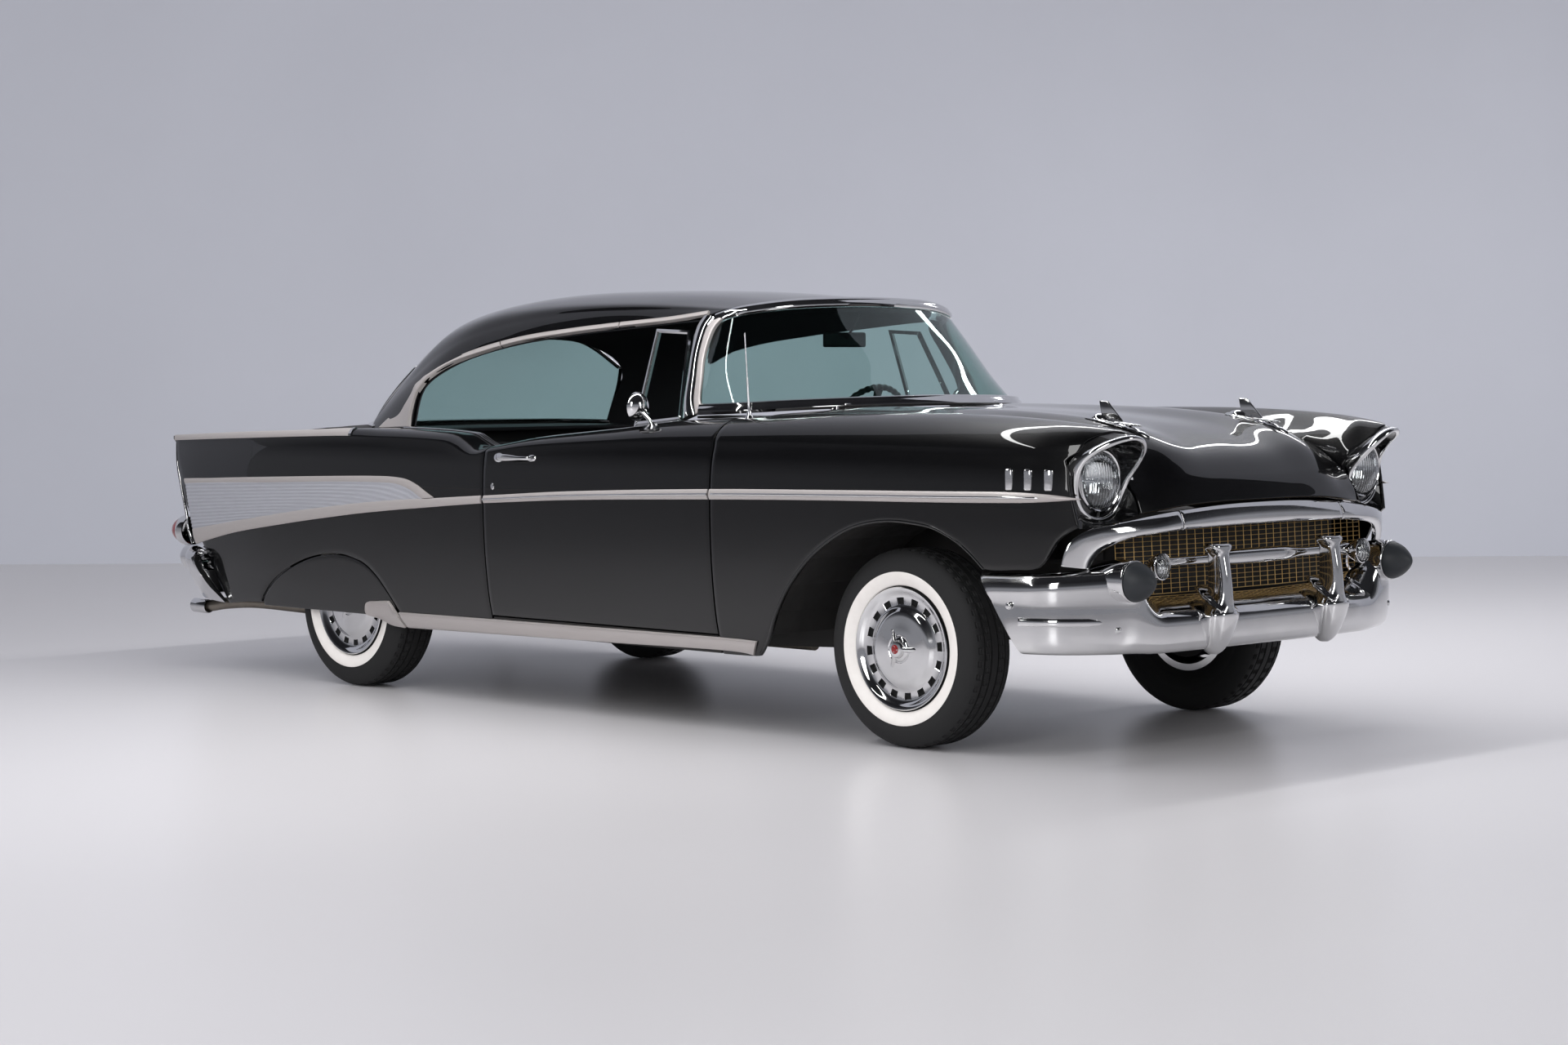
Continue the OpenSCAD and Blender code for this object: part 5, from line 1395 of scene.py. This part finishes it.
def makePad(name, v):
    sim = cushionSim
    loop = closedPath(v["outline"], sim["loop"])
    cx, cz = sum(p[0] for p in loop) / sim["loop"], sum(p[1] for p in loop) / sim["loop"]
    n = 2 * round(v["half"] / v["pitch"] * 5)
    stations = []
    for i in range(n + 1):
        t = 2 * i / n - 1
        k = (1 - abs(t) ** 12) ** 0.35 * 0.985 + 0.015
        phase = ((t + 1) * v["half"] / v["pitch"]) % 1
        seam = min(phase, 1 - phase) < sim["seam"]
        row = []
        for x, z in loop:
            dx, dz = (x - cx) * k, (z - cz) * k
            if seam and abs(t) < 0.97:
                r = math.hypot(dx, dz)
                dx, dz = dx * (1 - sim["seamDepth"] / r), dz * (1 - sim["seamDepth"] / r)
            row.append([cx + dx, v["y"] + t * v["half"], cz + dz])
        stations.append(row)
    pad = laidTube(name, stations, angle=60)
    low = min(z for x, z in loop)
    group = pad.vertex_groups.new(name="sewn")
    rest = meshPoints(pad)
    held = []
    for i, p in enumerate(rest):
        phase = ((p[1] / mm - v["y"] + v["half"]) / v["pitch"]) % 1
        atEnd = abs(p[1] / mm - v["y"]) > v["half"] * 0.95
        if min(phase, 1 - phase) < sim["seam"] or p[2] / mm < low + 12 or atEnd:
            held.append(i)
    group.add(held, 1.0, "REPLACE")
    only(pad)
    bpy.ops.object.modifier_add(type="CLOTH")
    cloth = pad.modifiers[-1]
    s = cloth.settings
    s.quality, s.mass, s.tension_stiffness, s.compression_stiffness, s.bending_stiffness = 6, 0.25, 12, 12, 0.4
    s.use_pressure, s.uniform_pressure_force = True, sim["pressure"]
    s.vertex_group_mass = "sewn"
    s.effector_weights.gravity = 0
    cloth.point_cache.frame_start, cloth.point_cache.frame_end = 1, sim["frames"]
    for frameNumber in range(1, sim["frames"] + 1):
        bpy.context.scene.frame_set(frameNumber)
    bpy.ops.object.modifier_apply(modifier=cloth.name)
    bpy.context.scene.frame_set(1)
    moved = meshPoints(pad) - rest
    size = np.maximum(np.linalg.norm(moved, axis=1, keepdims=True), 1e-9)
    pad.data.vertices.foreach_set("co", (rest + moved * np.minimum(1, sim["mostMove"] / size)).ravel())
    pad.data.update()
    tidyNormals(pad)
    shade(pad, 60)
    return pad


def makeSeatRoll(name, side):  # bright rounded roll that arches over the end of the front back rest
    points = [[-430, 608, 570], [-400, 612, 640], [-414, 612, 720], [-440, 612, 790], [-470, 610, 846],
              [-494, 600, 868], [-500, 560, 874], [-502, 480, 876], [-502, 360, 877], [-502, 200, 876],
              [-502, 90, 874], [-500, 48, 866], [-486, 34, 830], [-474, 32, 760]]
    return rod(name, line3([onPath(points, i / 70) for i in range(71)], side), 24, 16)


for key, v in seatPads.items():
    pad = makePad(key, v)
    dressed(pad, "body", finish["cloth"], [v["node"]] if "node" in v else ())
for name, side in sides.items():
    roll = makeSeatRoll("seatRoll_" + name, side)
    trimmed(roll, "silverVinyl")
    shell = slab("seatShell_" + name, (-512, 40 if side > 0 else -604, 430), (-486, 604 if side > 0 else -40, 560),
                 8, 3)
    trimmed(shell, "silverVinyl")
print("seats done")

# dashboard, steering wheel, cards, headliner, carpet, shelf and inside mirror
dash = {"outline": [[782, 1042], [742, 1052], [690, 1052], [610, 1040], [556, 1026], [528, 1008], [518, 990],
                    [522, 974], [536, 962], [546, 930], [566, 870], [592, 800], [612, 784], [640, 786], [646, 860],
                    [700, 900], [780, 902]], "half": 688}


def makeDash():
    stations = []
    for i in range(121):
        y = -dash["half"] + 2 * dash["half"] * i / 120
        # the instrument hood stands up in front of the driver
        hood = ramp(1 - abs(y - 370) / 190)
        row = []
        for x, z in dash["outline"]:
            k = max(0, min(1, (z - 960) / 60)) * hood
            row.append([x - 20 * k * (x < 640), y, min(z + (0 if x > 720 else 20 * k), 1078)])
        stations.append(row)
    return laidTube("dashPanel", stations, bevel=2, angle=45)


def makeDial(name, y, radius):
    cup = turned(name, [[radius, -4], [radius + 4, 0], [radius + 4, 8], [radius, 10], [radius - 4, 6], [radius - 5, 0],
                        [0, -2], [0, -4]], 40, (-0.95, 0, 0.25), (548, y, 944))
    return cup


dressed(makeDash(), "body", finish["vinyl"], ["dashboard"])
dials = [makeDial("dial", 370, 62), makeDial("dial", 268, 36), makeDial("dial", 472, 36)]
dials.append(rod("dashStrip", [[534, y, 968] for y in np.linspace(-676, 210, 20)], 5, 10))
dials.append(rod("dashStrip", [[584, y, 830] for y in np.linspace(-676, 676, 24)], 4, 10))
for y in (-60, 0, 60, 150):
    dials.append(turned("knob", [[0, 26], [8, 25], [11, 20], [11, 8], [7, 4], [7, 0], [0, 0]], 20, (-0.95, 0, 0.3),
                        (562, y, 885)))
plated(joined("dashBright", dials))
grid = [slab("speakerSlat", (540, -420 + 14 * k, 880), (552, -412 + 14 * k, 940), 2, 2) for k in range(12)]
brushed(joined("dashSlats", grid))

tilt = Matrix.Translation((0.3, 0.37, 0.96)) @ Matrix.Rotation(math.radians(-65), 4, "Y")


def makeWheelRim():
    stations = []
    ribs = 44
    for i in range(ribs * 6):
        a = 2 * math.pi * i / (ribs * 6)
        r = 11.2 + 1.6 * math.cos(ribs * a)
        stations.append([[(215 + r * math.cos(t)) * math.cos(a), (215 + r * math.cos(t)) * math.sin(a), r * math.sin(t)]
                         for t in circle(14)])
    return laidTube("wheelRim", stations + [stations[0]], capped=False, angle=60)


def makeSpoke(s):
    points = [[s * 34, 0, 6], [s * 90, 8, 4], [s * 150, 8, 2], [s * 206, 0, 0]]
    stations = []
    for i in range(25):
        x, y, z = onPath(points, i / 24)
        half = 26 - 10 * math.sin(math.pi * i / 24)
        stations.append([[x, y + half * math.cos(t), z + 6 * math.sin(t)] for t in circle(20)])
    return laidTube("wheelSpoke", stations, bevel=1)


column = turned("column", [[0, -232], [24, -232], [28, -120], [30, -40], [34, -30], [40, -12], [44, 0], [0, 4]], 32)
rim = joined("steeringRim", [makeWheelRim(), makeSpoke(1), makeSpoke(-1), column])
rim.data.transform(tilt)
dressed(rim, "steering", finish["rim"], ["steering_wheel"])
horn = [rod("hornRing", [[(112 - 8 * math.cos(3 * a)) * math.cos(a), (112 - 8 * math.cos(3 * a)) * math.sin(a), 16]
                         for a in circle(72)], 4, 8, closed=True),
        turned("hornButton", [[0, 24], [18, 22], [32, 15], [38, 4], [38, 0], [0, 0]], 36)]
for s in (1, -1):
    horn.append(rod("hornArm", [[s * 30, 0, 12], [s * 70, 0, 15], [s * 108, 0, 16]], 4, 8))
horn = joined("hornRing", horn)
horn.data.transform(tilt)
plated(horn, "steering")


def makeDoorCard(name, side):
    rows, back = [], []
    for j in range(25):
        z = 350 + 560 * j / 24
        row = []
        for i in range(61):
            x = -352 + 1160 * i / 60
            y = bodyY(x, z) - bodyLines["doorThick"] - 3
            pleat = 3 * abs(math.sin(math.pi * x / 38)) if 560 < z < 800 else 0
            row.append([x, (y - pleat) * side, z])
        rows.append(row)
        back.append([[x, y + 4 * side, z] for x, y, z in row])
    return laidShell("doorCard_" + name, rows, back, 0, 60)


def makeQuarterCard(name, side):
    rows = []
    for j in range(17):
        z = 440 + 520 * j / 16
        rows.append([[x, (700 + 20 * (z - 440) / 520 - 3 * abs(math.sin(math.pi * x / 38)) * (z < 800)) * side, z]
                     for x in np.linspace(-1120, -392, 50)])
    back = [[[x, y + 4 * side, z] for x, y, z in row] for row in rows]
    return laidShell("quarterCard_" + name, rows, back, 0, 60)


for name, side in sides.items():
    door = "door_" + name[0]
    trimmed(makeDoorCard(name, side), "vinyl", door)
    trimmed(makeQuarterCard(name, side), "vinyl")
    at = bodyY(100, 620) - 103
    rest = slab("armRest_" + name, (-40, (at - 50) * side if side > 0 else -at, 640),
                (260, at * side if side > 0 else -(at - 50), 690), 16, 4)
    trimmed(rest, "silverVinyl", door)
    bits = []
    for x, z, length in ((330, 700, 90), (560, 760, 110)):
        y = bodyY(x, z) - 104
        bits.append(turned("boss", [[0, 16], [12, 14], [18, 6], [19, 0], [0, 0]], 24, (0, -side, 0), (x, y * side, z)))
        bits.append(rod("lever", [[x, (y - 14) * side, z], [x + 20, (y - 22) * side, z - length * 0.4],
                                  [x + 26, (y - 24) * side, z - length]], 6, 10))
    plated(joined("doorPulls_" + name, bits), door)

rows = netRows(bothHalves(netLines["roof"]), 48, 44)
upper = facing(rows, 17)
lower = facing(rows, 21)
trimmed(laidShell("headlinerCloth", upper, lower, 0, 60), "headliner")
rows = [[[x, y, 348 + 26 * math.exp(-(y / 150) ** 4)] for x in np.linspace(-500, 640, 40)]
        for y in np.linspace(-690, 690, 60)]
carpet = laidShell("floorCarpet", rows, [[[x, y, z - 2.5] for x, y, z in row] for row in rows], 0, 60)
trimmed(carpet, "carpet")
shelf = slab("rearShelf", (-1640, -560, 985), (-1120, 560, 1000), 4, 3)
trimmed(shelf, "vinyl")
mirrorBody = slab("insideMirror", (556, -108, 1304), (572, 108, 1358), 7, 5)
stem = rod("mirrorStem", [[574, 0, 1336], [606, 0, 1372], [640, 0, 1424]], 5, 10)
trimmed(joined("insideMirror", [mirrorBody, stem]), "vinyl")
dressed(slab("insideMirrorGlass", (553, -101, 1309), (557, 101, 1353), 1.5, 3), "body", finish["mirrorGlass"])
print("cabin done")

# tail lamps, fin edge and exhaust
tail = {"x": -2372, "y": 838, "z": 572}


def makeTailLamp(name, side):
    place = (tail["x"], tail["y"] * side, tail["z"])
    lens = turned(name, [[0, 120], [14, 119], [30, 112], [42, 99], [50, 82], [54, 64], [55, 46], [52, 46], [48, 66],
                         [38, 92], [24, 106], [0, 114]], 64, (-1, 0, 0), place)
    return lens


def makeTailRing(name, side):
    place = (tail["x"], tail["y"] * side, tail["z"])
    ring = turned(name, [[60, 2], [63, 20], [64, 38], [63, 46], [59, 51], [55, 50], [52, 44], [48, 30], [20, 24],
                         [0, 22], [0, 14], [40, 8], [54, 2]], 64, (-1, 0, 0), place)
    inner = turned("ring", [[22, 118], [26, 121], [30, 117], [29, 112], [24, 112]], 48, (-1, 0, 0), place)
    return joined(name, [ring, inner])


def makeFinEdge(name, side):
    points = [[-2474, 880, 950], [-2466, 886, 918], [-2442, 896, 826], [-2418, 900, 762], [-2394, 902, 692],
              [-2376, 902, 635], [-2368, 900, 579], [-2338, 896, 520]]
    line = []
    for i in range(61):
        x, y, z = onPath(points, i / 60)
        line.append([max(x, -2496) - 2, (bodyY(x, z) - 5) * side, z])
    return rod(name, line, 7, 12, taper=lambda u: 0.6 + 0.4 * min(1, u * 4))


def makeExhaustTip(name, side):
    return turned(name, [[25.5, 0], [29, 8], [29.5, 60], [30, 96], [28.5, 98], [26.5, 96], [26, 60], [25.2, 8]], 40,
                  (-1, 0, 0.02), (-2318, 804 * side, 256))


for name, side in sides.items():
    dressed(makeTailLamp("tailLens_" + name, side), "body", finish["red"], ["tail_lamp_" + name])
    plated(makeTailRing("tailRing_" + name, side))
    plated(makeFinEdge("finEdge_" + name, side))
    plated(makeExhaustTip("exhaustTip_" + name, side))


# exhaust: two pipes with silencers, raised behind the axle to run out above the sill line
pipes = {"course": [[800, 400, 262], [300, 400, 262], [-300, 400, 262], [-900, 400, 262], [-1200, 400, 246],
                    [-1500, 404, 232], [-1740, 500, 240], [-1960, 610, 262], [-2140, 694, 276], [-2260, 752, 270],
                    [-2330, 790, 258], [-2396, 804, 256]], "radius": 24}


def makeExhaust(name, side):
    course = [onPath(pipes["course"], i / 110) for i in range(111)]
    parts = [rod("pipe", line3(course, side), pipes["radius"], 24),
             turned("silencer", [[24, 0], [48, 6], [58, 22], [60, 40], [60, 120], [58.5, 124], [60, 128], [60, 436],
                                 [58.5, 440], [60, 444], [60, 524], [58, 540], [48, 555], [24, 560]], 48, (1, 0, 0),
                    (-600, 400 * side, 288))]
    for x, z in ((-640, 262), (20, 262), (500, 262)):
        parts.append(turned("clamp", [[25, -14], [29, -14], [30, -12], [30, 12], [29, 14], [25, 14]], 32, (1, 0, 0),
                            (x, 400 * side, z)))
    return joined(name, parts)


for name, side in sides.items():
    dressed(makeExhaust("exhaust_" + name, side), "body", finish["exhaust"], ["exhaust"])
print("rear lamps and exhaust done")


# door mirrors and handles
def makeDoorMirror(name, side):
    base = turned("base", [[30, -2], [31, 2], [27, 7], [18, 13], [12, 20], [0, 22], [0, -2]], 40, (0, 0.15 * side, 1),
                  (455, 850 * side, 1024))
    arm = rod("arm", line3([[455, 850, 1036], [440, 850, 1052], [414, 851, 1072], [396, 851, 1088]], side), 8, 14,
              taper=lambda u: 1 - 0.3 * u)
    head = turned("head", [[0, -30], [16, -28], [32, -20], [44, -8], [50, 4], [51, 9], [49, 12], [45, 9], [43, 4],
                           [0, 3]], 56, (-1, 0.12 * side, 0.06), (384, 851 * side, 1100))
    return joined(name, [base, arm, head])


def makeHandle(name, side):
    def skin(x, z, out):
        return [x, (bodyY(x, z) + out) * side, z]
    grip = [skin(-292, 915, 4), skin(-278, 915, 20), skin(-250, 914, 28), skin(-200, 913, 31), skin(-140, 912, 29),
            skin(-108, 912, 20), skin(-98, 912, 6)]
    parts = []
    stations = []
    for i in range(41):
        x, y, z = onPath(grip, i / 40)
        h = 7 + 6 * math.sin(math.pi * min(1, i / 26))
        stations.append([[x, y + 5 * math.sin(t) * side, z + h * math.cos(t)] for t in
                         circle(16)])
    parts.append(laidTube("grip", stations, bevel=1))
    for x, length, height in ((-290, 54, 34), (-104, 44, 26)):
        outline = [[x + length / 2 * math.cos(t), 912 + height / 2 * math.sin(t)] for t in
                   circle(32)]
        parts.append(laidTube("pad", [[skin(x + (px - x) * k, 912 + (pz - 912) * k, o) for px, pz in outline]
                                      for k, o in ((1, -1), (1, 2), (0.86, 5), (0.5, 7), (0.06, 7.6))], bevel=0))
    x, z = -317, 806
    parts.append(laidTube("lock", [[skin(x + 9 * k * math.cos(t), z + 13 * k * math.sin(t), o) for t in
                                    circle(24)]
                                   for k, o in ((1, -1), (1, 2), (0.8, 4.5), (0.1, 5.2))], bevel=0))
    return joined(name, parts)


vent = {"outline": [[232, 736, 1026], [470, 732, 1050], [385, 606, 1366], [222, 612, 1374]],
        "light": [[248, 728, 1044], [452, 724, 1062], [374, 608, 1353], [238, 616, 1360]], "depth": 12}


def makeVent(name, side):
    # bright frame of the pivoting window ahead of the door glass, with its latch
    outer, inner = [], []
    for k in range(4):
        for i in range(12):
            u = i / 12
            outer.append([a + (b - a) * u for a, b in zip(vent["outline"][k], vent["outline"][(k + 1) % 4])])
            inner.append([a + (b - a) * u for a, b in zip(vent["light"][k], vent["light"][(k + 1) % 4])])
    stations = []
    for p, q in zip(outer + outer[:1], inner + inner[:1]):
        middle = [(a + b) / 2 for a, b in zip(p, q)]
        crown = [middle[0], middle[1] + 3, middle[2]]
        behind = [[r[0], r[1] - vent["depth"], r[2]] for r in (q, p)]
        stations.append(line3([p, crown, q] + behind, side))
    frameLoop = laidTube("frameLoop", stations, capped=False, angle=30)
    latch = slab("latch", (256, 704 if side > 0 else -716, 1064), (282, 716 if side > 0 else -704, 1078), 4, 3)
    return joined(name, [frameLoop, latch])


for name, side in sides.items():
    door = "door_" + name[0]
    plated(makeDoorMirror("doorMirror_" + name, side), door, ["door_mirror_" + name])
    glass = turned("doorMirrorGlass_" + name, [[0, 4], [42, 4], [43, 5], [42, 6.5], [0, 6.5]], 48,
                   (-1, 0.12 * side, 0.06), (384, 851 * side, 1100))
    dressed(glass, door, finish["mirrorGlass"])
    plated(makeHandle("doorHandle_" + name, side), door)
    plated(makeVent("ventFrame_" + name, side), door)
print("mirrors and handles done")


# wipers, antenna and arch lips
def makeWiper(name, side):
    pivot = turned("pivot", [[16, 0], [17, 4], [13, 10], [10, 18], [6, 22], [0, 23], [0, 0]], 28, (0.35, 0, 1),
                   (930, 430 * side, 1086))
    arm = rod("arm", line3([[930, 430, 1104], [944, 380, 1110], [962, 280, 1118], [970, 220, 1119]], side), 4.5, 8,
              taper=lambda u: 1 - 0.4 * u)
    blade = rod("blade", line3([[952, 400, 1104], [966, 300, 1108], [978, 180, 1110], [984, 60, 1110]], side), 3.5, 8)
    return joined(name, [pivot, arm, blade])


def makeAntenna(name):
    return turned(name, [[0, 300], [2.2, 298], [2.4, 150], [4, 146], [4.2, 34], [9, 30], [9.5, 20], [15, 14],
                         [19, 4], [20, -4], [0, -4]], 24, (-0.04, -0.03, 1), (883, -796, 1052))


def makeArchLip(name, side):
    line = []
    for i in range(91):
        x, z = onPath([p for p in bodyLines["frontArch"] if 1010 <= p[0] <= 2040], i / 90)
        line.append([x, (bodyY(x, max(z, 290)) - 5) * side, z])
    return rod(name, line, 6.5, 10)


for name, side in sides.items():
    plated(makeWiper("wiper_" + name, side))
    painted(makeArchLip("archLip_" + name, side), "body")
plated(makeAntenna("antenna"))
print("small fittings done")

# the solids that stay as they are get their finish
nodeFinish = {
    "frame": "chassis", "floor_pan": "chassis", "front_suspension": "chassis", "rear_axle": "chassis",
    "knuckle_left": "chassis", "knuckle_right": "chassis", "engine": "casting",
    "fuel_tank": "zinc"}
for node, key in nodeFinish.items():
    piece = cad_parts[node]
    piece.data.materials.clear()
    piece.data.materials.append(finish[key])

# floor, wall, light and camera
cameraFit = {"turn": 45.052, "down": 2.941, "roll": -0.315, "place": (8.3237, -8.0607, 1.2414), "focal": 3751.9,
             "pixels": 1920, "sensor": 36}
studio = {"floor": "#c0bec0", "wall": "#c6c9d3", "lamp": 125, "strip": 62}


def makeStage():
    material, s = newMaterial("paleStudioFloor", studio["floor"], 0.3)
    surfaceDetail(material, s, 2.5, (0.27, 0.33), 0, 1, colours=("#bebcbe", "#c2c0c2"))
    bpy.ops.mesh.primitive_plane_add(size=60, location=(0, 0, -0.001))
    floor = active()
    floor.name = "studioFloor"
    floor.data.materials.append(material)
    wallPaint, s = newMaterial("greyWallPaint", studio["wall"], 0.8)
    surfaceDetail(wallPaint, s, 1.5, (0.75, 0.85), 0, 3, colours=("#c2c4cd", "#cbcdd6"))
    # the wall shows on its room side alone, so views from behind pass it
    back = addNode(wallPaint, "ShaderNodeNewGeometry").outputs["Backfacing"]
    see = addNode(wallPaint, "ShaderNodeBsdfTransparent").outputs["BSDF"]
    mixed = addNode(wallPaint, "ShaderNodeMixShader", {0: back, 1: s.outputs["BSDF"], 2: see}).outputs["Shader"]
    wallPaint.node_tree.links.new(mixed, wallPaint.node_tree.nodes["Material Output"].inputs["Surface"])
    bpy.ops.mesh.primitive_plane_add(size=60, location=(-5.6, 5.6, 0))
    wall = active()
    wall.name = "studioWall"
    wall.data.transform(Matrix.Rotation(math.radians(45), 4, "Z") @ Matrix.Rotation(math.radians(90), 4, "X"))
    wall.data.materials.append(wallPaint)
    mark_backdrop(floor, wall)


def areaLamp(name, size, place, target, power):
    data = bpy.data.lights.new(name, "AREA")
    data.shape, data.size, data.size_y, data.energy = "RECTANGLE", size[0], size[1], power
    lamp = bpy.data.objects.new(name, data)
    bpy.context.scene.collection.objects.link(lamp)
    lamp.location = place
    lamp.rotation_mode = "QUATERNION"
    lamp.rotation_quaternion = (Vector(target) - Vector(place)).to_track_quat("-Z", "X")
    return lamp


def makeLight():
    for i, y in enumerate((-3.4, -1.7, 0.0, 1.7, 3.4)):
        areaLamp(f"stripLamp{i}", (0.16, 7.5), (0.4, y, 3.6), (0.4, y, 0), studio["strip"])
    areaLamp("sideLamp", (4.0, 1.6), (4.5, -7.5, 3.4), (0, 0, 0.6), studio["lamp"])
    areaLamp("frontLamp", (3.0, 1.6), (8.5, 1.0, 3.2), (0, 0, 0.6), studio["lamp"] * 0.6)
    world = bpy.data.worlds.new("studioWorld")
    bpy.context.scene.world = world
    world.use_nodes = True
    tree = world.node_tree
    shade = tree.nodes["Background"]
    ray = tree.nodes.new("ShaderNodeLightPath")
    place = tree.nodes.new("ShaderNodeTexCoord")
    split = tree.nodes.new("ShaderNodeSeparateXYZ")
    tree.links.new(place.outputs["Generated"], split.inputs[0])
    ramp = tree.nodes.new("ShaderNodeValToRGB")
    tree.links.new(split.outputs["Z"], ramp.inputs["Fac"])
    tones = [(0.0, "#8d8e94"), (0.1, "#8d8e94"), (0.26, "#3c3d41"), (0.55, "#1d1d20"), (1.0, "#26272a")]
    while len(ramp.color_ramp.elements) < len(tones):
        ramp.color_ramp.elements.new(0.5)
    for element, (at, tone) in zip(ramp.color_ramp.elements, tones):
        element.position, element.color = at, toLinear(tone)
    mix = tree.nodes.new("ShaderNodeMix")
    mix.data_type = "RGBA"
    mix.inputs["A"].default_value, mix.inputs["B"].default_value = toLinear("#efeff2"), toLinear(studio["wall"])
    tree.links.new(ray.outputs["Is Camera Ray"], mix.inputs["Factor"])
    glossy = tree.nodes.new("ShaderNodeMix")
    glossy.data_type = "RGBA"
    tree.links.new(ray.outputs["Is Glossy Ray"], glossy.inputs["Factor"])
    tree.links.new(mix.outputs["Result"], glossy.inputs["A"])
    tree.links.new(ramp.outputs["Color"], glossy.inputs["B"])
    tree.links.new(glossy.outputs["Result"], shade.inputs["Color"])
    shade.inputs["Strength"].default_value = 1.0


def makeCamera():
    data = bpy.data.cameras.new("studioCamera")
    camera = bpy.data.objects.new("studioCamera", data)
    bpy.context.scene.collection.objects.link(camera)
    turn, down, roll = (math.radians(cameraFit[key]) for key in ("turn", "down", "roll"))
    ahead = Vector((-math.sin(turn) * math.cos(down), math.cos(turn) * math.cos(down), -math.sin(down)))
    right = Vector((math.cos(turn), math.sin(turn), 0))
    up = right.cross(ahead)
    right, up = (right * math.cos(roll) + up * math.sin(roll), up * math.cos(roll) - right * math.sin(roll))
    camera.location = cameraFit["place"]
    camera.rotation_mode = "QUATERNION"
    camera.rotation_quaternion = Matrix((right, up, -ahead)).transposed().to_quaternion()
    data.sensor_width = cameraFit["sensor"]
    data.lens = cameraFit["sensor"] * cameraFit["focal"] / cameraFit["pixels"]
    data.clip_end = 200
    bpy.context.scene.camera = camera


makeStage()
makeLight()
makeCamera()
bpy.context.scene.view_settings.view_transform = "Standard"
low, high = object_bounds()
print("scene done")
